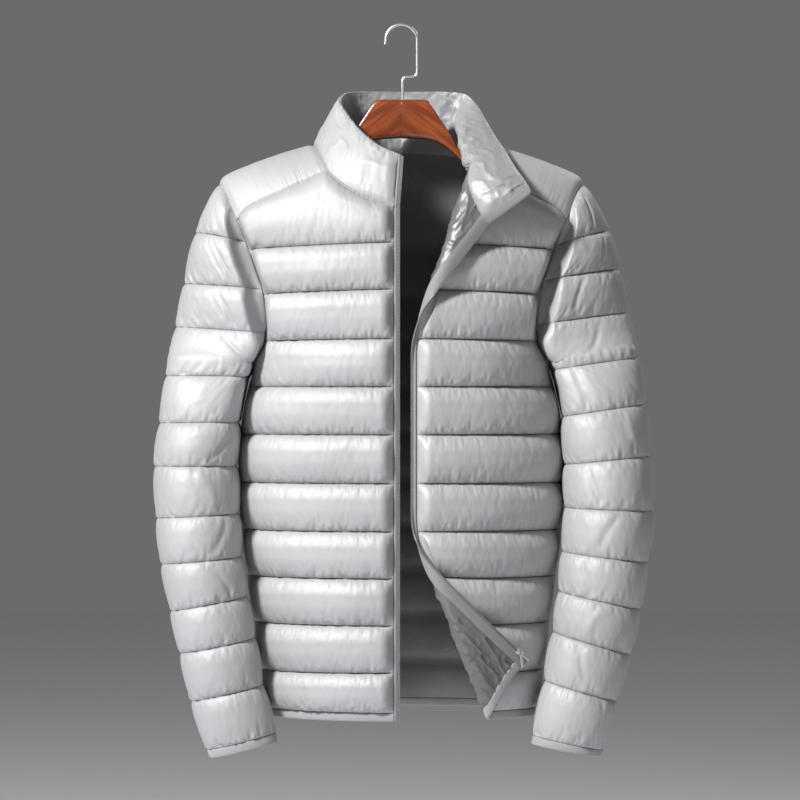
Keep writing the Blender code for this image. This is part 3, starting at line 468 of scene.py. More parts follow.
def back_flat(across, down):
    """The back as it hangs: x and z for shares across and rows down."""
    across, down = spread_out(across, down)
    top = settle_column(across[:1], 0.0, "back", back_top)
    levels = np.stack([top] + [np.full_like(top, -level) for level in ROWS["side"]])
    z = pick_level(np.broadcast_to(levels, (len(levels),) + across.shape), down)
    return side_edge(z, "back") * across, z


def yoke_surface(side, across, over):
    """A yoke: shares from neck to armhole and from the front seam to the back."""
    info = SIDES[side]
    sign, neck_half = info["sign"], info["neck_half"]
    across, over = spread_out(across, over)
    join = join_column(side)
    flat = across.reshape(1, -1)
    front_x, front_z = front_flat(side, join + (1 - join) * flat, np.zeros_like(flat))
    inner = back_join_column(side)
    back_x, back_z = back_flat(sign * (inner + (1 - inner) * flat), np.zeros_like(flat))
    front_x, front_z, back_x, back_z = (v.reshape(across.shape)
                                        for v in (front_x, front_z, back_x, back_z))
    top_x = sign * (neck_half + (SHOULDER_X - neck_half) * across)
    front = over < 0.5
    reach = np.abs(1 - 2 * over)
    end_x, end_z = np.where(front, front_x, back_x), np.where(front, front_z, back_z)
    limit = np.arccos(np.clip(1 - (ridge(end_x) - end_z) / SHOULDER_DROP, -1, 1))
    x = top_x + (end_x - top_x) * reach ** 1.5
    z = ridge(x) - SHOULDER_DROP * (1 - np.cos(limit * reach))
    front_points, front_out = torso_surface(x, z, "front")
    back_points, back_out = torso_surface(x, z, "back")
    pick = front[..., None]
    return np.where(pick, front_points, back_points), np.where(pick, front_out, back_out)


def sleeve_value(side, column, down):
    """Read one column of a sleeve's table at rows of quilting down it."""
    table = dict(SLEEVES[side], row=list(range(len(SLEEVES[side]["outer_x"]))))
    return lookup(table, "row", column, down)


def underarm_row(side):
    """The row of a sleeve, with its fraction, that lies at the underarm."""
    rows = np.linspace(0, 6, 601)
    return float(np.interp(UNDERARM_DROP, sleeve_value(side, "inner_drop", rows), rows))


def sleeve_surface(side, around, down):
    """A sleeve: round it from the front seam to the back one, and down its rows."""
    sign = SIDES[side]["sign"]
    around, down = spread_out(around, down)
    closed_row = underarm_row(side)
    outer_x, outer_z, inner_x, inner_z, middle_y, depth = (
        sleeve_value(side, column, down) * factor for column, factor in
        (("outer_x", 1), ("outer_drop", -1), ("inner_x", 1), ("inner_drop", -1),
         ("centre_y", 1), ("half_depth", 1)))
    open_part = 1 - smooth_step((down - 1.0) / (closed_row - 1.0))
    flat = UNDERARM_FLAT * (1 - smooth_step(np.abs(down - closed_row) / UNDERARM_FLAT_ROWS))
    half_turn, turn = np.sin(math.pi * around), np.sin(math.pi * around) ** (2 + 2 * flat)
    sideways = np.sin(2 * math.pi * around)
    sideways = np.sign(sideways) * np.abs(sideways) ** (1 - 0.8 * flat)
    outward = open_part * half_turn + (1 - open_part) * turn

    cap = down < closed_row
    z_seam = np.maximum(inner_z, -UNDERARM_DROP)
    (front_seam, front_out), (back_seam, back_out) = (
        torso_surface(sign * side_edge(z_seam + 1e-6, face), z_seam, face)
        for face in ("front", "back"))
    lap = SLEEVE_LAP * smooth_step((-z_seam - LAP_TOP) / (LAP_FULL - LAP_TOP))
    front_seam = front_seam + front_out * lap[..., None]
    back_seam = back_seam + back_out * lap[..., None]
    outer_point = np.stack([sign * outer_x, middle_y, outer_z], axis=-1)
    cap_middle = (front_seam + back_seam) / 2
    across = (front_seam - back_seam) / 2
    cap_points = (cap_middle + (outer_point - cap_middle) * outward[..., None]
                  + across * np.cos(math.pi * around)[..., None])
    swell = np.maximum(depth - 0.8 * np.abs(across[..., 1]), 0.0) * sideways
    centred = smooth_step(np.sin(math.pi * around) / 0.5) * (1 - outward)
    cap_points[..., 1] += (middle_y - cap_middle[..., 1]) * centred - swell

    beside = lookup(TORSO, "drop", "half_width", -inner_z) + SLEEVE_LAP
    ease = smooth_step(down - closed_row)
    start_x = beside + (inner_x - beside) * ease
    tube_start = np.stack([sign * start_x, middle_y * ease, inner_z], axis=-1)
    tube_points = tube_start + (outer_point - tube_start) * outward[..., None]
    tube_points[..., 1] += middle_y * (1 - ease) * centred - swell
    points = np.where(cap[..., None], cap_points, tube_points)

    yoke_end, yoke_out = yoke_surface(side, np.ones_like(around), around)
    first = 1 - smooth_step(down / 1.0)[..., None]
    points = points * (1 - first) + yoke_end * first
    return points, front_out, back_out, yoke_out


def grid_normals(points, sign):
    """Directions square to a grid, to the side that the sign picks."""
    rows = np.gradient(points, axis=0)
    columns = np.gradient(points, axis=1)
    return unit(np.cross(rows, columns) * sign)


# ------------------------------------------------------------------------ grids
noise_source = np.random.default_rng(7)


def soft_noise(shape, rows_per_wave, columns_per_wave):
    """Smooth noise between -1 and 1 over a grid."""
    rows, columns = shape
    coarse_rows = max(3, int(rows / rows_per_wave) + 3)
    coarse_columns = max(3, int(columns / columns_per_wave) + 3)
    coarse = noise_source.uniform(-1, 1, (coarse_rows, coarse_columns))
    places = spread_out(column_of(0, coarse_rows - 1.001, rows),
                        row_of(0, coarse_columns - 1.001, columns))
    return read_grid(coarse[..., None], *places, smooth_step)[..., 0]


def read_grid(values, row, column, ease=lambda part: part):
    """Read a grid of vectors between its points."""
    rows, columns = values.shape[-3:-1]
    row, column = np.clip(row, 0, rows - 1.001), np.clip(column, 0, columns - 1.001)
    r, c = row.astype(int), column.astype(int)
    part_r, part_c = ease(row - r)[..., None], ease(column - c)[..., None]
    upper = values[r, c] * (1 - part_c) + values[r, c + 1] * part_c
    lower = values[r + 1, c] * (1 - part_c) + values[r + 1, c + 1] * part_c
    return upper * (1 - part_r) + lower * part_r


def crumple(shape, rows_per_wave, columns_per_wave):
    """Narrow creases over a grid, from 0 to 1, where smooth noise crosses nought."""
    return (1 - np.abs(soft_noise(shape, rows_per_wave, columns_per_wave))) ** 5


def filled(part):
    """Height of settled filling down a row: a short round top and a long round bottom."""
    top = 1 - np.clip(part / TOP_ROUND, 0, 1)
    bottom = np.clip(1 - (1 - part) / BOTTOM_ROUND, 0, 1)
    return ((1 - top ** ROUND_POWER) * (1 - bottom ** ROUND_POWER)) ** (1 / ROUND_POWER)


def creased(shape, wide, fine):
    """Wide and fine creases over a grid, each given by its rows and columns a wave."""
    return crumple(shape, *wide) + FINE_CREASES * crumple(shape, *fine) - CREASE_MIDDLE


def beside_edges(distance, width):
    """Rise from nought at an edge to 1, this far from it."""
    return smooth_step(distance / width) ** 0.5


def between_edges(reach, width):
    """Rise from nought at both ends of a grid's rows, from how far along its points are."""
    return beside_edges(reach, width) * beside_edges(reach[:, -1:] - reach, width)


def lengths(points, axis):
    """Distance in millimetres along a grid from its first row or column."""
    steps = np.linalg.norm(np.diff(points, axis=axis), axis=-1)
    first = np.zeros_like(np.take(points[..., 0], [0], axis=axis))
    return np.concatenate([first, np.cumsum(steps, axis=axis)], axis=axis)


def distances(line):
    """Distance in millimetres along a line of points from its first one."""
    return lengths(line[None], 1)[0]


def read_line(line, along, at):
    """Points of a line, read at distances along it."""
    return np.stack([np.interp(at, along, line[:, k]) for k in range(3)], axis=-1)


def read_both(line, out, along, at):
    """Points of a line and its outward directions, read at distances along it."""
    return read_line(line, along, at), unit(read_line(out, along, at))


def quads(index):
    """Faces of a grid of point numbers."""
    return np.stack([index[:-1, :-1], index[1:, :-1], index[1:, 1:], index[:-1, 1:]],
                    axis=-1).reshape(-1, 4).tolist()


def mesh_from(name, points, faces):
    mesh = bpy.data.meshes.new(name)
    mesh.from_pydata((np.asarray(points).reshape(-1, 3) * MM).tolist(), [], faces)
    mesh.update()
    return mesh


def put(name, data):
    """An object of this data, in the scene."""
    thing = bpy.data.objects.new(name, data)
    bpy.context.scene.collection.objects.link(thing)
    return thing


# ----------------------------------------------------------------------- meshes
class Mesh:
    """Grids of points joined into one mesh, with its cut and its rows as maps."""

    def __init__(self, name):
        self.name = name
        self.points, self.cut, self.rows, self.same = [], [], [], []
        self.faces, self.slots, self.count = [], [], 0

    def grid(self, points, cut, rows, wrap_from=None):
        """Add a grid; from a row on, its last column is its first one again."""
        shape = points.shape[:2]
        index = self.count + np.arange(shape[0] * shape[1]).reshape(shape)
        same = index.copy()
        if wrap_from is not None:
            same[wrap_from:, -1] = same[wrap_from:, 0]
        self.points.append(points.reshape(-1, 3))
        self.cut.append(cut.reshape(-1, 2))
        self.rows.append(rows.reshape(-1, 2))
        self.same.append(same.ravel())
        self.count += index.size
        return index

    def add(self, faces, slot=0):
        faces = [list(face) for face in faces]
        self.faces += faces
        self.slots += [slot] * len(faces)

    def make(self, materials, flip, sharp):
        faces = [face[::-1] for face in self.faces] if flip else self.faces
        corners = np.concatenate([np.asarray(face) for face in faces])
        same = np.concatenate(self.same)
        used, place = np.unique(same[corners], return_inverse=True)
        ends = np.cumsum([len(face) for face in faces])
        around = [part.tolist() for part in np.split(place, ends[:-1])]
        mesh = mesh_from(self.name, np.concatenate(self.points)[used], around)
        for name, values in (("cut", self.cut), ("rows", self.rows)):
            layer = mesh.uv_layers.new(name=name)
            layer.data.foreach_set("uv", np.concatenate(values)[corners].ravel())
        mesh.polygons.foreach_set("material_index", self.slots)
        for material in materials:
            mesh.materials.append(material)
        mesh.shade_smooth()
        mesh.set_sharp_from_angle(angle=math.radians(sharp))
        thing = put(self.name, mesh)
        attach(thing, "root")
        return thing


def rim(skin, lining):
    """Faces from a border of the skin to one of the lining, which has fewer points."""
    step = (len(skin) - 1) // (len(lining) - 1)
    return [list(skin[k * step:(k + 1) * step + 1]) + [lining[k + 1], lining[k]]
            for k in range(len(lining) - 1)]


# ------------------------------------------------------------ blown-up quilting
CLOTH = {
    "quality": 5, "mass": 0.02, "vertex_group_mass": "sewn", "tension_stiffness": 8,
    "compression_stiffness": 8, "shear_stiffness": 2.7, "bending_stiffness": 0.1,
    "air_damping": 1, "vertex_group_shrink": "gathered", "shrink_min": -SLACK,
    "shrink_max": -GATHER, "use_pressure": True, "uniform_pressure_force": 15,
}


class Strip:
    """A row of quilting laid out flat, sewn down all round and blown up by simulation."""

    waiting = []
    shapes, ends = None, None

    def __init__(self, name):
        columns, rows = int(STRIP_LONG / STRIP_STEP) + 1, int(STRIP_TALL / STRIP_STEP) + 1
        along, fall = np.meshgrid(np.linspace(0, STRIP_LONG, columns),
                                  np.linspace(0, STRIP_TALL, rows))
        end = np.minimum(along, STRIP_LONG - along)
        baffle = np.sin(math.pi * np.clip(fall / STRIP_TALL, 0.0, 1.0)) ** 0.8
        puff = STRIP_PUFF * baffle * beside_edges(end, STRIP_TAPER)
        ripple = (soft_noise(along.shape, 6, 2.7) + soft_noise(along.shape, 15, 7)) / 2
        self.flat = np.stack([along, np.zeros_like(along), -fall], axis=-1)
        self.points = self.flat.copy()
        self.points[..., 1] -= puff + ripple * np.minimum(1, puff / 2)
        self.thing = None
        Strip.waiting.append(self)
        index = np.arange(rows * columns).reshape(rows, columns)
        self.thing = put(name, mesh_from(name, self.points, quads(index)))
        sewn = self.thing.vertex_groups.new(name="sewn")
        border = np.concatenate([index[0], index[-1], index[1:-1, 0], index[1:-1, -1]])
        sewn.add(border.tolist(), 1.0, "REPLACE")
        from_seam = np.minimum(fall, STRIP_TALL - fall)
        share = np.round(GATHER_STEPS * np.exp(-(from_seam / GATHER_REACH) ** 2)).astype(int)
        gathered = self.thing.vertex_groups.new(name="gathered")
        for step in range(GATHER_STEPS + 1):
            gathered.add(index[share == step].tolist(), step / GATHER_STEPS, "REPLACE")
        self.add_cloth()

    def add_cloth(self):
        cloth = self.thing.modifiers.new("cloth", "CLOTH")
        for key, value in CLOTH.items():
            setattr(cloth.settings, key, value)
        cloth.settings.effector_weights.gravity = 0
        cloth.collision_settings.use_collision = False
        cloth.collision_settings.use_self_collision = False
        cloth.point_cache.frame_start = 1
        cloth.point_cache.frame_end = FRAMES

    def settle(self, graph):
        settled = self.thing.evaluated_get(graph)
        mesh = settled.to_mesh()
        points = np.empty(len(mesh.vertices) * 3)
        mesh.vertices.foreach_get("co", points)
        settled.to_mesh_clear()
        self.points = points.reshape(self.points.shape) / MM

    @classmethod
    def blow_up(cls):
        """Run the simulations at once and keep how far each point moves along, out and down."""
        for frame_number in range(1, FRAMES + 1):
            bpy.context.scene.frame_set(frame_number)
        graph = bpy.context.evaluated_depsgraph_get()
        for strip in cls.waiting:
            strip.settle(graph)
        for strip in cls.waiting:
            bpy.data.objects.remove(strip.thing, do_unlink=True)
        bpy.context.scene.frame_set(1)
        along = cls.waiting[0].flat[..., 0]
        cls.shapes = np.stack([(strip.points - strip.flat) * (1, -1, -1) for strip in cls.waiting])
        lift = cls.shapes[..., 1].mean(axis=0)
        lift = (lift + lift[::-1] + lift[:, ::-1] + lift[::-1, ::-1]) / 4
        end = np.minimum(along, STRIP_LONG - along)
        inner = lift[:, end[0] > STRIP_END].mean(axis=1, keepdims=True)
        share = smooth_step(end / STRIP_END)
        plain = lift * (1 - share) + inner * share
        cls.shapes[..., 1] -= plain
        cls.ends = plain[len(plain) // 2] / inner.max()

    @classmethod
    def read(cls, pick, fall, along):
        """Wrinkles at places on the strips, and how far the filling reaches into their ends."""
        rows, columns = cls.shapes.shape[1:3]
        row, column = fall / STRIP_TALL * (rows - 1), along / STRIP_LONG * (columns - 1)
        moves = np.zeros(pick.shape + (3,))
        ends = np.interp(column, np.arange(columns), cls.ends)
        for number, shape in enumerate(cls.shapes):
            here = pick == number
            moves[here] = read_grid(shape, row[here], column[here])
        return moves, ends


class Panel:
    """A sewn piece: its surface, its quilted skin and the lining behind it."""

    made = {}

    def __init__(self, name, base, out, down, per, puff, wrinkle, inner_puff, zip_edge=False,
                 lining_step=LINING_STEP, wrap_row=None, folds=0.0, inner_folds=0.0):
        self.name, self.base, self.out = name, base, out
        self.down = np.broadcast_to(down, base.shape[:2])
        self.per, self.wrap_row, self.lining_step = per, wrap_row, lining_step
        self.baffles = (len(base) - 1) // per
        self.zip_edge = zip_edge
        self.skin = self.blown(1, puff, wrinkle, folds)
        self.lining = self.blown(-1, inner_puff, LINING_WRINKLE * wrinkle, inner_folds)
        self.trims = []
        Panel.made[name] = self

    def on_strip(self):
        """Where each point lies on its row's strip: which one, how far down and along."""
        row = np.minimum((self.down + 1e-9).astype(int), self.baffles - 1)
        fallen = lengths(self.base, 0)
        seams = fallen[::self.per]
        top = np.take_along_axis(seams, row, axis=0)
        tall = np.maximum(np.take_along_axis(seams, row + 1, axis=0) - top, 1e-6)
        fallen = fallen - top
        half = STRIP_TALL / 2
        spread = np.where(fallen < tall / 2, np.minimum(fallen, half),
                          np.maximum(STRIP_TALL - tall + fallen, half))
        fall = np.where(tall > STRIP_TALL, spread, fallen * STRIP_TALL / tall)
        pick, flip, mirror = (noise_source.integers(count, size=self.baffles)[row]
                              for count in (STRIPS, 2, 2))
        start = noise_source.uniform(0, STRIP_LONG, self.baffles)[row]
        first = 0.0 if self.zip_edge else STRIP_END
        span = STRIP_LONG - STRIP_END - first
        travel = np.mod(lengths(self.base, 1) + (0.0 if self.zip_edge else start), 2 * span)
        forward = np.where(travel < span, 1.0, -1.0)
        from_turn = np.minimum(np.abs(travel - span), np.minimum(travel, 2 * span - travel))
        turning = smooth_step(from_turn / TURN_REACH)
        along = first + span - np.abs(travel - span)
        along = np.where(mirror, STRIP_LONG - along, along)
        forward = forward * np.where(mirror, -1.0, 1.0) * turning
        fall = np.where(flip, STRIP_TALL - fall, fall)
        near = np.minimum(fallen, tall - fallen)
        self.form = filled(fallen / tall)
        reach = CALM + (1 - CALM) * np.exp(-(near / PUCKER_REACH) ** 2)
        self.gathered = reach * (TOP_GATHERS + (BOTTOM_GATHERS - TOP_GATHERS) * fallen / tall)
        return pick, fall, along, forward, np.where(flip, -1.0, 1.0)

    def blown(self, face, puff, wrinkle, folds):
        """Raise one face of the piece as blown-up cloth."""
        pick, fall, along, forward, downward = self.on_strip()
        moves, ends = Strip.read(pick, fall, along)
        wrinkle = wrinkle * self.gathered
        full = 1 + UNEVEN * soft_noise(self.base.shape[:2], 30, 60)
        lift = puff * full * self.form * ends + moves[..., 1] * wrinkle + folds
        across_way = unit(np.gradient(self.base, axis=1))
        down_way = unit(np.gradient(self.base, axis=0))
        across = moves[..., 0] * forward * wrinkle
        fallen = moves[..., 2] * downward * wrinkle + SAG * np.maximum(lift, 0)
        return (self.base + face * self.out * (CLOTH_HALF + lift)[..., None]
                + across_way * across[..., None] + down_way * fallen[..., None])

    def build(self, materials):
        cut = np.stack([lengths(self.base, 1), lengths(self.base, 0)], axis=-1) * MM
        rows = np.stack([cut[..., 0], self.down], axis=-1)
        step, wrap = self.lining_step, self.wrap_row
        mesh = Mesh(self.name)
        outside = mesh.grid(self.skin, cut, rows, wrap)
        inside = mesh.grid(self.lining[::step, ::step], cut[::step, ::step], rows[::step, ::step],
                           None if wrap is None else wrap // step)
        mesh.add(quads(outside), 0)
        mesh.add([face[::-1] for face in quads(inside)], 1)
        last = len(self.skin) - 1 if wrap is None else wrap
        mesh.add(rim(outside[0], inside[0]), 0)
        mesh.add([face[::-1] for face in rim(outside[-1], inside[-1])], 0)
        seam, lining_seam = outside[:last + 1], inside[:last // step + 1]
        mesh.add([face[::-1] for face in rim(seam[:, 0], lining_seam[:, 0])])
        mesh.add(rim(seam[:, -1], lining_seam[:, -1]))
        flip = np.mean(np.sum(grid_normals(self.base, 1.0) * self.out, axis=-1)) < 0
        self.thing = mesh.make(materials, flip, sharp=60)
        return self.thing


# ------------------------------------------------------------------ sewn pieces
def valley(z, distance):
    """How far the cloth falls back beside the front of an armhole."""
    fades_in = smooth_step((-z - VALLEY_TOP) / VALLEY_FADE)
    fades_out = smooth_step((UNDERARM_DROP + z) / VALLEY_FADE)
    return VALLEY_DEPTH * fades_in * fades_out * np.exp(-distance ** 4)


def plan_front(side):
    """One front: its grid, how full it is, and the creases in its lining."""
    baffles = len(ROWS["front"])
    down = column_of(0, baffles, baffles * PER_BAFFLE + 1)
    across = row_of(0, 1, FRONT_COLUMNS)
    x, z = front_flat(side, across, down)
    base, out, angle = front_surface(side, x, z)
    width = side_edge(z, "front") - SIDES[side]["edge"]
    base[..., 1] += valley(z, (1 - across) * width / VALLEY_REACH)
    taper = beside_edges((1 - across) * width, SIDE_TAPER)
    crush = 1 - FOLD_CRUSH * smooth_step(angle / (math.pi / 2))
    beside_sleeve = (smooth_step((across - PRESS_FRONT) / (1 - PRESS_FRONT))
                     * smooth_step((-z - PRESS_TOP) / PRESS_FADE))
    puff = FRONT_PUFF * taper * crush * (1 - SLEEVE_PRESS * beside_sleeve)
    inner = LINING_CREASE * creased(base.shape[:2], (14, 8), (6, 6)) * taper
    step = 1 if side == "left" else LINING_STEP
    Panel("shell_front_" + side, base, out, down, PER_BAFFLE, puff, taper,
          FRONT_INNER_PUFF * taper, zip_edge=True, lining_step=step,
          inner_folds=inner * beside_edges(across * width, LINING_MARGIN))


def plan_back():
    """The back: its grid and how full it is."""
    baffles = len(ROWS["side"])
    down = column_of(0, baffles, baffles * PER_BAFFLE + 1)
    across = row_of(-1, 1, BACK_COLUMNS)
    x, z = back_flat(across, down)
    base, out = torso_surface(x, z, "back")
    taper = beside_edges((1 - np.abs(across)) * side_edge(z, "back"), SIDE_TAPER)
    beside_sleeve = smooth_step((np.abs(across) - PRESS_BACK) / (1 - PRESS_BACK))
    puff = FRONT_PUFF * taper * (1 - SLEEVE_PRESS * beside_sleeve)
    Panel("shell_back", base, out, down, PER_BAFFLE, puff, taper, BACK_INNER_PUFF * taper)


def plan_yoke(side):
    """One shoulder yoke, which has no quilting."""
    across = row_of(0, 1, YOKE_COLUMNS)
    over = column_of(0, 1, YOKE_ROWS)
    base, out = yoke_surface(side, across, over)
    taper = between_edges(lengths(base, 1), YOKE_TAPER)
    Panel("shell_yoke_" + side, base, out, over, YOKE_ROWS - 1, YOKE_PUFF * taper,
          YOKE_WRINKLE * taper, YOKE_INNER * YOKE_PUFF * taper)


def sleeve_directions(side, points, down, front_out, back_out, yoke_out):
    """Outward directions of a sleeve, shared with the body along the armhole."""
    own = grid_normals(points, SIDES[side]["sign"])
    wrapped = unit(own[:, 0] + own[:, -1])
    closed = (down[:, 0] >= underarm_row(side))[:, None]
    own[:, 0] = np.where(closed, wrapped, front_out[:, 0])
    own[:, -1] = np.where(closed, wrapped, back_out[:, -1])
    own[0] = yoke_out[0]
    return own


def plan_sleeve(side):
    """One sleeve, sewn to the body down to the underarm row and closed below it."""
    closed_row = underarm_row(side)
    around = row_of(0, 1, SLEEVE_COLUMNS)
    down = np.linspace(0, CUFF_ROW, CUFF_ROW * SLEEVE_PER_BAFFLE + 1)
    nearest = LINING_STEP * int(np.argmin(np.abs(down[::LINING_STEP] - closed_row)))
    down[nearest] = closed_row
    down = down[:, None]
    base, front_out, back_out, yoke_out = sleeve_surface(side, around, down)
    out = sleeve_directions(side, base, down, front_out, back_out, yoke_out)
    under_puff = UNDERARM_PUFF * smooth_step(down - closed_row)
    reach = lengths(base, 1)
    seam = between_edges(reach, SIDE_TAPER)
    outer_edge = 1 - OUTLINE_FLAT * np.exp(-((around - 0.5) / OUTLINE_WIDE) ** 2)
    inner_side = under_puff + (SLEEVE_PUFF - under_puff) * np.sin(math.pi * around) ** 0.5
    under = smooth_step((down - closed_row + UNDERARM_ROWS) / UNDERARM_ROWS)
    base[..., 1] += valley(base[:, :1, 2], reach / SLEEVE_VALLEY_REACH)
    puff = outer_edge * (SLEEVE_PUFF * seam * (1 - under) + inner_side * under)
    below = down - closed_row + UNDERARM_DENT_UP
    dent = UNDERARM_DENT * np.exp(-(below / UNDERARM_DENT_TALL) ** 2)
    for place in (UNDERARM_DENT_AT, 1 - UNDERARM_DENT_AT):
        share = np.exp(-((around - place) / UNDERARM_DENT_WIDE) ** 2)
        base = base - out * (dent * share * np.sin(math.pi * around) ** 0.3)[..., None]
    folds = sleeve_folds(side, reach / reach[:, -1:], down)
    Panel("shell_sleeve_" + side, base, out, down, SLEEVE_PER_BAFFLE, puff,
          SLEEVE_WRINKLE * seam, SLEEVE_INNER * puff, wrap_row=nearest, folds=folds * seam)


def sleeve_folds(side, around, down):
    """Long pulls and dents in a sleeve, each from one place on it to another."""
    around, down = spread_out(around, down)
    total = np.zeros_like(around)
    table = SLEEVE_FOLDS[side]
    for start_a, start_d, end_a, end_d, height, width in zip(*(table[key] for key in FOLD_KEYS)):
        run, drop = (end_a - start_a) * SLEEVE_ROUND, (end_d - start_d) * ROW_TALL
        length = math.hypot(run, drop)
        x, y = (around - start_a) * SLEEVE_ROUND, (down - start_d) * ROW_TALL
        along, beside = (x * run + y * drop) / length, (x * drop - y * run) / length
        bend = beside + FOLD_BOW * length * np.sin(math.pi * np.clip(along / length, 0, 1))
        ends = (smooth_step(along / FOLD_ENDS + 0.5)
                * smooth_step((length - along) / FOLD_ENDS + 0.5))
        total += height * np.exp(-(bend / width) ** 2) * ends
    return total * np.sin(math.pi * np.clip(down % 1.0, 0, 1)) ** 0.4


def neck_curve(side):
    """Half the neck seam, from the front's end to the middle of the back."""
    join = join_column(side)
    across = row_of(0, join, NECK_COLUMNS)
    x, z = front_flat(side, across, np.zeros((1, 1)))
    front, front_out, _ = front_surface(side, x, z)
    over = row_of(0, 1, SHOULDER_COLUMNS)[:, 1:-1]
    over_shoulder, shoulder_out = yoke_surface(side, np.zeros_like(over), over)
    across = SIDES[side]["sign"] * row_of(back_join_column(side), 0, NECK_COLUMNS)
    x, z = back_flat(across, np.zeros((1, 1)))
    back, back_out = torso_surface(x, z, "back")
    return (np.concatenate([front[0], over_shoulder[0], back[0]]),
            np.concatenate([front_out[0], shoulder_out[0], back_out[0]]))


def collar_half(side):
    """Half the collar's grid from its seam up, the seam's outward directions and places."""
    seam, out = neck_curve(side)
    along = distances(seam)
    even = np.linspace(0, along[-1], int(along[-1] / COLLAR_STEP / 4) * 4 + 1)
    seam, out = read_both(seam, out, along, even)
    along = even / even[-1]
    table = COLLAR_TOP[side]
    top = np.stack([lookup(table, "along", axis, along) for axis in "xyz"], axis=-1)
    swell = np.stack([lookup(table, "along", "swell_" + axis, along) for axis in "xyz"], axis=-1)
    share = column_of(0, 1, COLLAR_ROWS)[..., None]
    return seam * (1 - share) + top * share + swell * 2 * share * (1 - share), out, along


def plan_collar():
    """The collar: up on the right, and folded back on the left."""
    right, right_out, right_along = collar_half("right")
    left, left_out, left_along = collar_half("left")
    base = np.concatenate([right, left[:, -2::-1]], axis=1)
    out = grid_normals(base, 1.0)
    out[0] = np.concatenate([right_out, left_out[-2::-1]])
    turned = np.concatenate([np.zeros_like(right_along),
                             1 - smooth_step((left_along[-2::-1] - COLLAR_TURN_AT)
                                             / COLLAR_TURN_WIDE)])
    share = column_of(0, 1, COLLAR_ROWS)
    shape = base.shape[:2]
    inner = LINING_CREASE * creased(shape, (14, 6), (5, 5))
    outer = COLLAR_CREASE * (crumple(shape, 12, 16) - COLLAR_MIDDLE)
    ends = between_edges(lengths(base, 1), COLLAR_TAPER)
    inside = ends * np.sin(math.pi * share) ** 0.5
    Panel("shell_collar", base, out, share, COLLAR_ROWS - 1,
          COLLAR_PUFF * ends * (1 - COLLAR_TURNED_FLAT * turned), COLLAR_WRINKLE * ends,
          COLLAR_PUFF * ends * (COLLAR_INNER + COLLAR_INNER_TURNED * turned), lining_step=1,
          folds=outer * inside, inner_folds=inner * inside)


# ------------------------------------------------ bindings, zip, thread, hanger
def sweep(name, rings, materials, closed=False, sharp=SHARP):
    """A closed mesh through rings of points, one after another."""
    count, points = rings.shape[:2]
    loop = np.concatenate([rings, rings[:, :1]], axis=1)
    along = np.broadcast_to(distances(loop.mean(axis=1))[:, None], loop.shape[:2])
    cut = np.stack([along, lengths(loop, 1)], axis=-1) * MM
    mesh = Mesh(name)
    index = mesh.grid(loop, cut, cut)
    same = mesh.same[-1].reshape(count, points + 1)
    same[:, -1] = same[:, 0]
    if closed:
        same[-1] = same[0]
    mesh.same[-1] = same.ravel()
    mesh.add(quads(index))
    if not closed:
        mesh.add([index[0, :-1].tolist(), index[-1, :-1][::-1].tolist()])
    middle = rings.mean(axis=1, keepdims=True)
    thing = mesh.make(materials, False, sharp)
    if np.mean(np.sum(grid_normals(loop, 1.0)[:, :-1] * (rings - middle), axis=-1)) < 0:
        thing.data.flip_normals()
    return thing


def rounded(count, power):
    """A round-cornered section: sideways and upward shares round it."""
    turn = np.linspace(0, 2 * math.pi, count, endpoint=False)
    return tuple(np.sign(wave) * np.abs(wave) ** power for wave in (np.cos(turn), np.sin(turn)))


def binding(name, top, bottom, out, materials, closed):
    """Elastic folded over an edge: a round-cornered section swept along it."""
    side, rise = (share[None, :, None] for share in rounded(14, 0.55))
    middle, half_height = (top + bottom)[:, None] / 2, (top - bottom)[:, None] / 2
    return sweep(name, middle + half_height * rise + out[:, None] * BINDING_HALF * side,
                 materials, closed)


def tube(name, path, out, radius, materials, sides=12):
    """A round cord or wire along a path whose outward directions are given."""
    side, rise = (share[None, :, None] for share in rounded(sides, 1.0))
    ahead = unit(np.gradient(path, axis=0))
    across = unit(np.cross(ahead, out))[:, None]
    up = np.cross(across, ahead[:, None])
    return sweep(name, path[:, None] + radius * (across * side + up * rise), materials)


def many(name, points, faces, material):
    """Copies of one small shape joined in a mesh; points are copies by corners."""
    count = points.shape[1]
    starts = np.arange(len(points))[:, None, None] * count
    faces = (starts + np.array(faces)).reshape(-1, len(faces[0]))
    thing = put(name, mesh_from(name, points, faces.tolist()))
    thing.data.materials.append(material)
    thing.data.shade_smooth()
    thing.data.set_sharp_from_angle(angle=math.radians(SHARP))
    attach(thing, "root")
    return thing


THREAD_FACES = [[0, 2, 3], [0, 3, 4], [0, 4, 5], [0, 5, 2],
                [1, 3, 2], [1, 4, 3], [1, 5, 4], [1, 2, 5]]
TOOTH_FACES = [[0, 1, 3, 2], [4, 6, 7, 5], [0, 4, 5, 1], [2, 3, 7, 6], [0, 2, 6, 4], [1, 5, 7, 3]]


def stitches(name, lines, material):
    """Short threads along lines of points, each line with its outward directions."""
    shapes = []
    for line, out in lines:
        along = distances(line)
        places = np.arange(STITCH_PITCH / 2, along[-1] - STITCH_LONG / 2, STITCH_PITCH)
        ends = [read_line(line, along, places + end * STITCH_LONG / 2) for end in (-1, 1)]
        middle, up = read_both(line, out, along, places)
        across = unit(np.cross(ends[1] - ends[0], up)) * STITCH_WIDE
        high = up * STITCH_HIGH
        shapes.append(np.stack([ends[0] - high, ends[1] - high, middle + across, middle + high,
                                middle - across, middle - high], axis=1))
    return many(name, np.concatenate(shapes), THREAD_FACES, material)


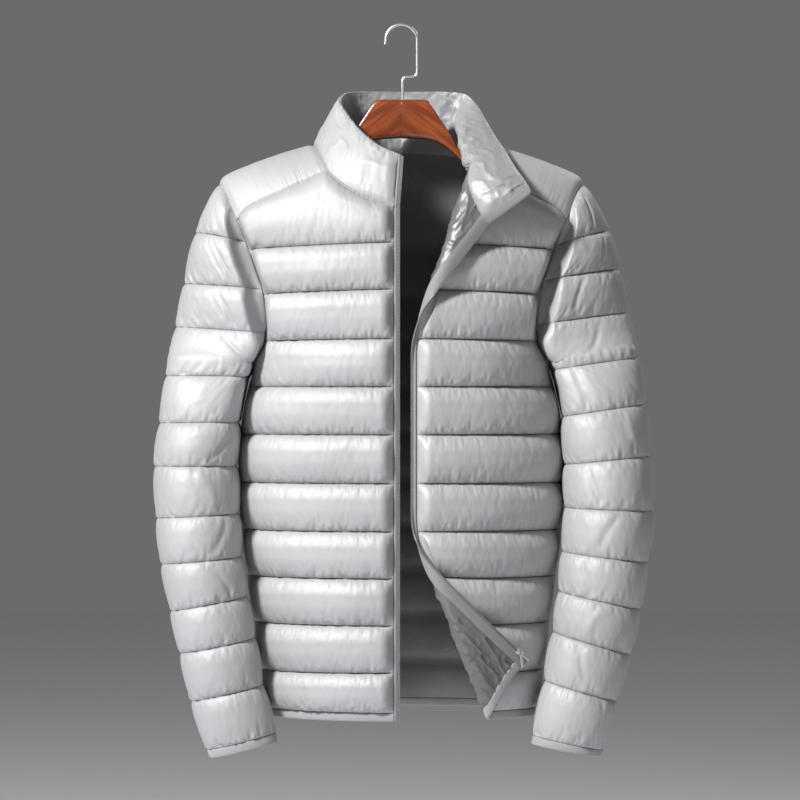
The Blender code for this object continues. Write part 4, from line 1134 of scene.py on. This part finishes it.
def zip_lines(side, offsets):
    """Lines beside a front's edge, from the hem up to the top of the collar."""
    offsets, rows = np.asarray(offsets, float), len(ROWS["front"])
    down = column_of(rows, 0, rows * ZIP_POINTS + 1)
    edge_x, edge_z = front_flat(side, np.zeros((1, 1)), down)
    x = edge_x - SIDES[side]["sign"] * offsets[None, :]
    z = np.broadcast_to(edge_z, x.shape)
    x, z = np.concatenate([x[:1], x]), np.concatenate([z[:1] - HEM_BINDING + TAPE_SHORT, z])
    points, out, _ = front_surface(side, x, z)
    collar = Panel.made["shell_collar"]
    column, inward = (0, 1) if side == "right" else (-1, -2)
    end = collar.base[2::2, column]
    reach = unit(end - collar.base[2::2, inward])
    more = end[:, None] + reach[:, None] * offsets[None, :, None]
    more_out = np.repeat(collar.out[2::2, column][:, None], len(offsets), axis=1)
    return np.concatenate([points, more]), np.concatenate([out, more_out])


def make_zip(side, cloth, coil):
    """A woven tape, folded along the panel's edge, and a row of teeth beyond it."""
    offset, height = (np.array(column) for column in zip(*TAPE_SECTION))
    points, out = zip_lines(side, offset)
    tape = sweep("woven_tape_" + side, points + out * height[None, :, None], [cloth])
    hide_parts("zip_tape_" + side)
    middle = (TEETH_START + TAPE_WIDTH) / 2
    lines, out = zip_lines(side, [middle - 1, middle, middle + 1])
    along = distances(lines[:, 1])
    places = np.arange(TAPE_SHORT, along[-1] - TAPE_SHORT, TOOTH_PITCH)
    centre, up = read_both(lines[:, 1], out[:, 1], along, places)
    across = unit(read_line(lines[:, 2] - lines[:, 0], along, places))
    ahead = unit(np.cross(across, up))
    half = (TAPE_WIDTH - TEETH_START) / 2
    corners = [centre + across * half * i + up * TOOTH_HIGH * j * (TOOTH_TIP if i > 0 else 1)
               + ahead * TOOTH_PITCH * TOOTH_THICK * k
               for i in (-1, 1) for j in (-1, 1) for k in (-1, 1)]
    teeth = many("teeth_" + side, np.stack(corners, axis=1), TOOTH_FACES, coil)
    Panel.made["shell_front_" + side].trims += [tape, teeth]


# Half the width, thickness and height of the slider's parts, and how square they are.
SLIDER_PARTS = {
    "slider_body": (3.6, 2.3, 5.5, 0.5), "slider_bridge": (0.9, 1.0, 4.2, 0.5),
    "slider_pull": (1.9, 0.5, 8.0, 0.5), "zip_pin": (1.3, 1.4, PIN_LONG / 2, 0.6),
}
BRIDGE_OUT, PULL_OUT, PULL_DOWN = 2.9, 3.6, 9.5
PULL_FALL = (0.25, -0.1, -1.0)
PLATE_LEVELS = (-1.0, -0.82, 0.82, 1.0)


def plate(name, material, place, sizes=(0.8, 1.0, 1.0, 0.8)):
    """One of the slider's parts, a rounded block about a place, with its ends drawn in."""
    half_x, half_y, height, power = SLIDER_PARTS[name]
    centre, wide, thick, tall = place
    rings = []
    turn_wide, turn_thick = rounded(20, power)
    for level, size in zip(PLATE_LEVELS, sizes):
        rings.append(centre + tall * (level * height)
                     + wide * (half_x * size * turn_wide)[:, None]
                     + thick * (half_y * size * turn_thick)[:, None])
    thing = sweep(name, np.stack(rings), [material])
    return thing


def make_slider(material):
    """The zip's slider down at the box, with its bridge, hanging pull and pin."""
    lines, out = zip_lines("left", [TAPE_WIDTH - 1.5, TAPE_WIDTH])
    along = distances(lines[:, 0])
    near, far = (read_line(lines[:, 0], along, at) for at in (SLIDER_AT, SLIDER_AT + 1))
    thick = -unit(read_line(out[:, 0], along, SLIDER_AT))
    tall = unit(far - near)
    ways = (unit(np.cross(thick, tall)), thick, tall)
    parts = [plate("slider_body", material, (near, *ways))]
    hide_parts("zip_box")
    parts.append(plate("slider_bridge", material, (near + thick * BRIDGE_OUT, *ways)))
    fall = unit(np.array(PULL_FALL))
    fall = unit(fall - thick * np.dot(fall, thick))
    pull = (near + thick * PULL_OUT + fall * PULL_DOWN, unit(np.cross(thick, fall)), thick, fall)
    parts.append(plate("slider_pull", material, pull, (0.9, 1.0, 0.75, 0.6)))
    pin = (read_line(lines[:, 0], along, PIN_LONG / 2), *ways)
    parts.append(plate("zip_pin", material, pin))
    Panel.made["shell_front_left"].trims += parts


def make_bindings(elastic):
    """Elastic at the hem, in three lengths, and round each cuff."""
    made = []
    hem_row = np.full((1, 1), float(len(ROWS["front"])))
    for side in SIDES:
        across = row_of(0, 1, FRONT_COLUMNS)
        x, z = front_flat(side, across, hem_row)
        top, out, _ = front_surface(side, x, z - EDGE_GAP)
        bottom, _, _ = front_surface(side, x, z - HEM_BINDING)
        hem = binding("elastic_hem_" + side, top[0], bottom[0], out[0], [elastic], False)
        made.append((hem, "hem_" + side, "shell_front_" + side))
        around = row_of(0, 1, SLEEVE_COLUMNS)
        points = sleeve_surface(side, around, np.array([CUFF_ROW, CUFF_ROW + 1.0])[:, None])[0]
        out = grid_normals(points, SIDES[side]["sign"])
        out[:, 0] = out[:, -1] = unit(out[:, 0] + out[:, -1])
        cuff = binding("elastic_cuff_" + side, points[0], points[1], out[0], [elastic], True)
        made.append((cuff, "cuff_" + side, "shell_sleeve_" + side))
    across = row_of(-1, 1, BACK_COLUMNS)
    x, z = back_flat(across, hem_row)
    top, out = torso_surface(x, z - EDGE_GAP, "back")
    bottom, _ = torso_surface(x, z - HEM_BINDING, "back")
    hem = binding("elastic_hem_back", top[0], bottom[0], out[0], [elastic], False)
    made.append((hem, "hem_back", "shell_back"))
    for thing, node, panel in made:
        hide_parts(node)
        Panel.made[panel].trims.append(thing)


def make_threads(yarn, shell):
    """Thread along every row of quilting, the zip's edges and the neck, and its piping."""
    for name, panel in Panel.made.items():
        inside = panel.skin[panel.per:-1:panel.per], panel.out[panel.per:-1:panel.per]
        lines = list(zip(*inside))
        if panel.zip_edge:
            lines.append((panel.skin[:, 1], panel.out[:, 1]))
        if name == "shell_collar":
            lines += [(panel.skin[:, end], panel.out[:, end]) for end in (1, -2)]
            lines.append((panel.skin[2], panel.out[2]))
        if lines:
            thing = stitches("stitches_" + name.removeprefix("shell_"), lines, yarn)
            panel.trims.append(thing)
    halves = [neck_curve(side) for side in SIDES]
    path, out = (np.concatenate([halves[0][k], halves[1][k][-2::-1]]) for k in (0, 1))
    along = distances(path)
    even = np.linspace(0, along[-1], int(along[-1] / PIPING_STEP) + 1)
    path, out = read_both(path, out, along, even)
    piping = tube("neck_piping", path + out * (CLOTH_HALF + EDGE_GAP), out, PIPING, [shell])
    Panel.made["shell_collar"].trims.append(piping)


def make_hanger(wood_material, wire_material):
    """The hanger's wood, shaped along its arms, and its wire hook."""
    tip = HANGER["x"][-1]
    x = np.concatenate([-np.arange(tip, 0, -HANGER_STEP), [0.0],
                        np.arange(HANGER_STEP, tip, HANGER_STEP), [tip]])
    half, top, bottom = (lookup(HANGER, "x", column, np.abs(x))[:, None]
                         for column in ("half", "top", "bottom"))
    side, rise = (share[None, :] for share in rounded(HANGER_SIDES, 0.32))
    rings = np.stack([np.broadcast_to(x[:, None], (len(x), HANGER_SIDES)), half * side,
                      (top + bottom) / 2 + (top - bottom) / 2 * rise], axis=-1)
    body = sweep("carved_wood", rings, [wood_material], sharp=60)
    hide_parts("hanger_body")
    middle = -HOOK_RADIUS + WIRE / 2
    quarter = np.linspace(0, math.pi / 2, 8)
    path = [(HOOK_SHANK_X, z) for z in np.linspace(HOOK_FOOT, HOOK_JOG, 14)]
    path += [(HOOK_SHANK_X + 4.5 * (1 - math.cos(turn)), HOOK_JOG + 6 * math.sin(turn))
             for turn in quarter[1:]]
    path += [(HOOK_RADIUS - 5 + 5 * math.sin(turn), HOOK_JOG + 11.5 - 5 * math.cos(turn))
             for turn in quarter]
    path += [(HOOK_RADIUS * math.cos(turn), middle + HOOK_RADIUS * math.sin(turn))
             for turn in np.linspace(0, math.pi, 37)]
    path += [(-HOOK_RADIUS - 0.6, middle - 5)]
    path = np.array([(x, 0, z) for x, z in path])
    facing = np.broadcast_to([0.0, -1.0, 0.0], path.shape)
    hook = tube("wire_hook", path, facing, WIRE / 2, [wire_material], sides=16)
    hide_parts("hanger_hook")


# -------------------------------------------------------------------- materials
class Nodes:
    """A material's nodes, made by short calls."""

    def __init__(self, name, **values):
        self.material = bpy.data.materials.new(name)
        self.material.use_nodes = True
        self.tree = self.material.node_tree
        self.shader = self.tree.nodes["Principled BSDF"]
        for key, value in values.items():
            self.shader.inputs[key.replace("_", " ")].default_value = value

    def add(self, kind, inputs=None, **settings):
        node = self.tree.nodes.new("ShaderNode" + kind)
        for key, value in settings.items():
            setattr(node, key, value)
        for key, value in (inputs or {}).items():
            self.feed(node.inputs[key], value)
        return node

    def feed(self, socket, value):
        if isinstance(value, bpy.types.NodeSocket):
            self.tree.links.new(value, socket)
        else:
            socket.default_value = value

    def math(self, operation, a, b=0.0):
        return self.add("Math", {0: a, 1: b}, operation=operation).outputs[0]

    def times(self, a, b):
        return self.math("MULTIPLY", a, b)

    def wave(self, value, pitch):
        """The sine of a length, one wave this many millimetres."""
        return self.math("SINE", self.times(value, 2 * math.pi / (pitch * MM)))

    def range(self, value, low, high, to_low, to_high):
        node = self.add("MapRange", {"Value": value, "From Min": low, "From Max": high,
                                     "To Min": to_low, "To Max": to_high})
        node.interpolation_type = "SMOOTHSTEP"
        return node.outputs[0]

    def spread(self, noise, low=0.0, high=1.0):
        """Noise, which is mostly between 0.3 and 0.7, spread between two values."""
        return self.range(noise, 0.3, 0.7, low, high)

    def noise(self, vector, scale, detail=2.0, roughness=0.5, distortion=0.0):
        node = self.add("TexNoise", {"Vector": vector, "Scale": scale, "Detail": detail,
                                     "Roughness": roughness, "Distortion": distortion})
        return node.outputs["Fac"]

    def stretched(self, parts, scales, *noise):
        """Noise over a place made of three lengths, each with its own scale."""
        return self.noise(self.join(*map(self.times, parts, scales)), 1.0, *noise)

    def scaled(self, vector, scale):
        node = self.add("VectorMath", {0: vector, 1: scale}, operation="MULTIPLY")
        return node.outputs[0]

    def place(self):
        """Where the surface is, in metres, in the frame of the solids."""
        return self.add("TexCoord").outputs["Object"]

    def on_map(self, name):
        """The two numbers of a map: metres along the cut, or metres across and rows down."""
        return self.parts(self.add("UVMap", uv_map=name).outputs[0])[:2]

    def parts(self, vector):
        node = self.add("SeparateXYZ", {0: vector})
        return node.outputs[0], node.outputs[1], node.outputs[2]

    def join(self, x, y, z=0.0):
        return self.add("CombineXYZ", {0: x, 1: y, 2: z}).outputs[0]

    def mix(self, factor, a, b):
        node = self.add("Mix", data_type="RGBA")
        for socket, value in zip((node.inputs["Factor"], node.inputs[6], node.inputs[7]),
                                 (factor, a, b)):
            self.feed(socket, value)
        return node.outputs[2]

    def bump(self, heights):
        """Chain bumps: pairs of a height and its depth in millimetres."""
        normal = None
        for height, depth in heights:
            inputs = {"Height": height, "Distance": depth * MM, "Strength": 1.0}
            if normal:
                inputs["Normal"] = normal
            normal = self.add("Bump", inputs).outputs[0]
        self.feed(self.shader.inputs["Normal"], normal)

    def finish(self, colour, roughness):
        self.feed(self.shader.inputs["Base Color"], colour)
        self.feed(self.shader.inputs["Roughness"], roughness)
        return self.material


def grey(value):
    """A grey that is slightly cool."""
    return (value * 0.985, value, value * 1.02, 1.0)


def woven(nodes, pitch):
    """Height of a plain weave, threads this many millimetres apart."""
    across, down = nodes.on_map("cut")
    wave = nodes.times(nodes.wave(across, pitch), nodes.wave(down, pitch))
    return nodes.math("MULTIPLY_ADD", wave, 0.5)


def nylon(name, light, dark, rough, wrinkle, pucker, quilted=True):
    """Thin satin nylon over down, pulled into puckers along its rows of stitching."""
    nodes = Nodes(name, **{"Metallic": 0.2, "Specular_IOR_Level": 0.4})
    across, row = nodes.on_map("rows")
    part = nodes.math("FRACT", nodes.math("ADD", row, 0.5))
    from_row = nodes.math("ABSOLUTE", nodes.math("SUBTRACT", part, 0.5))
    place = nodes.join(nodes.times(across, 1 / (4.5 * MM)), nodes.times(row, 2.2))
    gathers = nodes.noise(place, 1.0, 2.0, 0.6, 0.4)
    near = nodes.range(from_row, 0.0, 0.3, 1.0, 0.0)
    puckers = nodes.times(gathers, near)
    body = nodes.place()
    creases = nodes.noise(nodes.scaled(body, (1.0, 1.0, 0.7)), 70.0, 4.0, 0.6, 1.2)
    crinkle = nodes.noise(body, 260.0, 2.0, 0.5, 0.8)
    groove = nodes.range(from_row, 0.004, 0.016, 0.0, 1.0)
    heights = [(woven(nodes, 0.45), 0.012), (crinkle, 0.08), (creases, wrinkle)]
    nodes.bump(heights + [(puckers, pucker), (groove, 0.35)] * quilted)
    patches = nodes.noise(body, 9.0, 2.0, 0.5)
    colour = nodes.mix(nodes.spread(patches), grey(dark), grey(light))
    if quilted:
        # Painted shade: the quilted shell's colour goes darker along each row of stitching,
        # standing for the shade in the seam's groove.
        colour = nodes.mix(nodes.range(from_row, 0.0, 0.02, 0.6, 0.0), colour, grey(dark * 0.55))
    return nodes.finish(colour, nodes.spread(crinkle, rough - 0.03, rough + 0.05))


def ribbed(name, light, dark, pitch):
    """Knitted elastic: fine ribs across its length."""
    nodes = Nodes(name, **{"Specular_IOR_Level": 0.4, "Sheen_Weight": 0.2})
    along, around = nodes.on_map("cut")
    rib = nodes.math("MULTIPLY_ADD", nodes.wave(along, pitch), 0.5)
    yarn = nodes.wave(around, 0.7)
    fuzz = nodes.noise(nodes.place(), 900.0, 2.0)
    nodes.bump([(rib, 0.25), (nodes.times(yarn, rib), 0.06), (fuzz, 0.08)])
    return nodes.finish(nodes.mix(rib, grey(dark), grey(light)), nodes.spread(fuzz, 0.5, 0.65))


def zip_cloth():
    """Twill tape, its ridges slanting to and fro."""
    nodes = Nodes("zip_tape", **{"Specular_IOR_Level": 0.4, "Sheen_Weight": 0.2})
    along, around = nodes.on_map("cut")
    slant = nodes.math("ADD", nodes.times(along, 2 * math.pi / (1.5 * MM)),
                       nodes.times(nodes.math("PINGPONG", around, 2.4 * MM), 2600.0))
    twill = nodes.math("MULTIPLY_ADD", nodes.math("SINE", slant), 0.5)
    fuzz = nodes.noise(nodes.place(), 700.0, 2.0)
    nodes.bump([(twill, 0.25), (fuzz, 0.1)])
    return nodes.finish(nodes.mix(twill, grey(0.15), grey(0.32)), nodes.spread(fuzz, 0.5, 0.65))


def thread():
    """Twisted sewing thread."""
    nodes = Nodes("thread", **{"Specular_IOR_Level": 0.5, "Sheen_Weight": 0.2})
    strand = nodes.noise(nodes.place(), 1800.0, 2.0)
    nodes.bump([(strand, 0.05)])
    return nodes.finish(nodes.mix(strand, grey(0.16), grey(0.26)), nodes.spread(strand, 0.4, 0.55))


def plastic(name, value, rough):
    """Moulded plastic of one grey, with a fine grain."""
    nodes = Nodes(name, **{"Specular_IOR_Level": 0.5})
    place = nodes.place()
    grain = nodes.noise(place, 1200.0, 2.0)
    nodes.bump([(grain, 0.01)])
    tone = nodes.spread(nodes.noise(place, 90.0))
    return nodes.finish(nodes.mix(tone, grey(value * 0.85), grey(value)),
                        nodes.spread(grain, rough - 0.04, rough + 0.06))


def metal(name, value, rough):
    """Brushed metal of one grey."""
    nodes = Nodes(name, Metallic=1.0)
    place = nodes.place()
    brushed = nodes.noise(nodes.scaled(place, (4000.0, 4000.0, 150.0)), 1.0, 2.0)
    nodes.bump([(brushed, 0.004)])
    tone = nodes.spread(nodes.noise(place, 60.0))
    return nodes.finish(nodes.mix(tone, grey(value * 0.88), grey(value)),
                        nodes.range(brushed, 0.2, 0.8, rough - 0.06, rough + 0.1))


def wood():
    """Varnished wood with its grain along each arm and a joint in the middle; the arm at -X gets
    painted shade, as darker grain bands.
    """
    nodes = Nodes("hanger_wood", **{"Coat_Weight": 0.6, "Coat_Roughness": 0.12,
                                    "Specular_IOR_Level": 0.5})
    place = nodes.place()
    x, y, z = nodes.parts(place)
    # Painted shade: this mask is 1 on the arm at -X, the viewer's left, which is drawn darker to
    # stand for shade.
    left = nodes.range(x, -0.0003, 0.0003, 1.0, 0.0)
    run = nodes.math("ABSOLUTE", x)
    lean = nodes.math("MULTIPLY_ADD", run, 0.7)
    nodes.feed(lean.node.inputs[2], z)
    ways = (run, y, lean)
    grain = nodes.stretched(ways, (14.0, 160.0, 150.0), 5.0, 0.6, 0.5)
    bands = nodes.stretched(ways, (5.0, 40.0, 42.0), 2.0, 0.5, 0.6)
    pores = nodes.stretched(ways, (60.0, 900.0, 900.0), 2.0)
    colour = nodes.mix(nodes.range(grain, 0.35, 0.65, 0.0, 1.0), (0.15, 0.027, 0.006, 1),
                       (0.26, 0.054, 0.010, 1))
    # The dark bands are the wood's grain, drawn more strongly on the -X arm as painted shade.
    dark = nodes.times(nodes.range(bands, 0.46, 0.6, 0.0, 1.0),
                       nodes.range(left, 0.0, 1.0, 0.2, 0.45))
    colour = nodes.mix(dark, colour, (0.075, 0.012, 0.005, 1))
    colour = nodes.mix(nodes.range(pores, 0.62, 0.75, 0.0, 0.35), colour, (0.08, 0.014, 0.006, 1))
    joint = nodes.range(run, 0.0, 0.0005, 1.0, 0.0)
    colour = nodes.mix(nodes.times(joint, 0.8), colour, (0.05, 0.012, 0.006, 1))
    nodes.bump([(pores, 0.02), (grain, 0.03), (nodes.math("SUBTRACT", 1.0, joint), 0.15)])
    return nodes.finish(colour, nodes.spread(grain, 0.28, 0.4))


# ------------------------------------------------------------- light and camera
CAMERA = (-1.65, -4000.0, -441.1)
MM_PER_PIXEL = 1.18
FRAME_PIXELS = 800
SENSOR = 36.0
FLOOR_Z = -1250.0
FLOOR_REACH = 9000.0
JACKET_MIDDLE = (0, 0, -0.45)


def add_camera():
    camera = bpy.data.cameras.new("camera")
    camera.sensor_width = SENSOR
    camera.lens = SENSOR * -CAMERA[1] / (FRAME_PIXELS * MM_PER_PIXEL)
    thing = put("camera", camera)
    thing.location = Vector(CAMERA) * MM
    thing.rotation_euler = (math.pi / 2, 0, 0)
    bpy.context.scene.camera = thing


def add_light(name, place, size, power):
    """A square soft light, aimed at the middle of the jacket; metres and watts."""
    light = bpy.data.lights.new(name, "AREA")
    light.size = size
    light.energy = power
    thing = put(name, light)
    thing.location = place
    towards = Vector(JACKET_MIDDLE) - Vector(place)
    thing.rotation_euler = towards.to_track_quat("-Z", "Y").to_euler()


def add_studio():
    """Three soft lights, a pale world and a pale floor."""
    bpy.context.scene.view_settings.view_transform = "Standard"
    add_light("key", (-1.8, -1.9, 1.4), 0.5, 180)
    add_light("fill", (2.1, -2.1, 0.2), 1.4, 5)
    add_light("rim", (1.2, 1.5, 1.0), 0.9, 12)
    world = bpy.data.worlds.new("studio")
    world.use_nodes = True
    background = world.node_tree.nodes["Background"].inputs
    background["Color"].default_value = (0.95, 0.98, 1.0, 1)
    background["Strength"].default_value = 0.15
    bpy.context.scene.world = world
    nodes = Nodes("floor")
    speckle = nodes.noise(nodes.place(), 30.0)
    corners = [(-1, -1), (1, -1), (1, 1), (-1, 1)]
    floor = mesh_from("floor", [(x * FLOOR_REACH, y * FLOOR_REACH, FLOOR_Z) for x, y in corners],
                      [(0, 1, 2, 3)])
    floor.materials.append(nodes.finish(nodes.mix(speckle, grey(0.80), grey(0.83)),
                                        nodes.spread(speckle, 0.7, 0.8)))
    put("floor", floor)


# ------------------------------------------------------------------- the jacket
REPLACED = {"sleeve_right": ("sleeve_upper_right", "sleeve_lower_right"),
            "sleeve_left": ("sleeve_upper_left", "sleeve_lower_left")}

# Each panel's cut: greatest width and length in metres, and area in square metres.
CUTS = {
    "shell_front_right": (0.240, 0.640, 0.127), "shell_front_left": (0.230, 0.635, 0.122),
    "shell_back": (0.465, 0.662, 0.271), "shell_collar": (0.600, 0.082, 0.036),
    "shell_yoke_right": (0.143, 0.150, 0.0167), "shell_yoke_left": (0.155, 0.150, 0.0184),
    "shell_sleeve_right": (0.368, 0.687, 0.172), "shell_sleeve_left": (0.376, 0.688, 0.179),
}


def main():
    shell = nylon("silver_nylon", 0.40, 0.37, 0.58, 0.14, 0.9)
    lining = nylon("lining_nylon", 0.17, 0.12, 0.36, 0.5, 0.0, quilted=False)
    facing = nylon("facing_nylon", 0.34, 0.30, 0.46, 0.4, 0.0, quilted=False)
    for number in range(STRIPS):
        Strip(f"strip_{number}")
    Strip.blow_up()
    for side in SIDES:
        plan_front(side)
        plan_yoke(side)
        plan_sleeve(side)
    plan_back()
    plan_collar()
    for name, panel in Panel.made.items():
        thing = panel.build([shell, facing if name == "shell_collar" else lining])
        node = name.removeprefix("shell_")
        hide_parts(*REPLACED.get(node, (node,)))
    make_bindings(ribbed("binding_elastic", 0.38, 0.27, 1.3))
    tape, coil = zip_cloth(), plastic("zip_coil", 0.20, 0.35)
    for side in SIDES:
        make_zip(side, tape, coil)
    make_slider(metal("brushed_steel", 0.62, 0.26))
    make_threads(thread(), shell)
    make_hanger(wood(), metal("satin_wire", 0.78, 0.3))
    for name, (width, length, area) in CUTS.items():
        panel = Panel.made[name]
    add_camera()
    add_studio()


main()
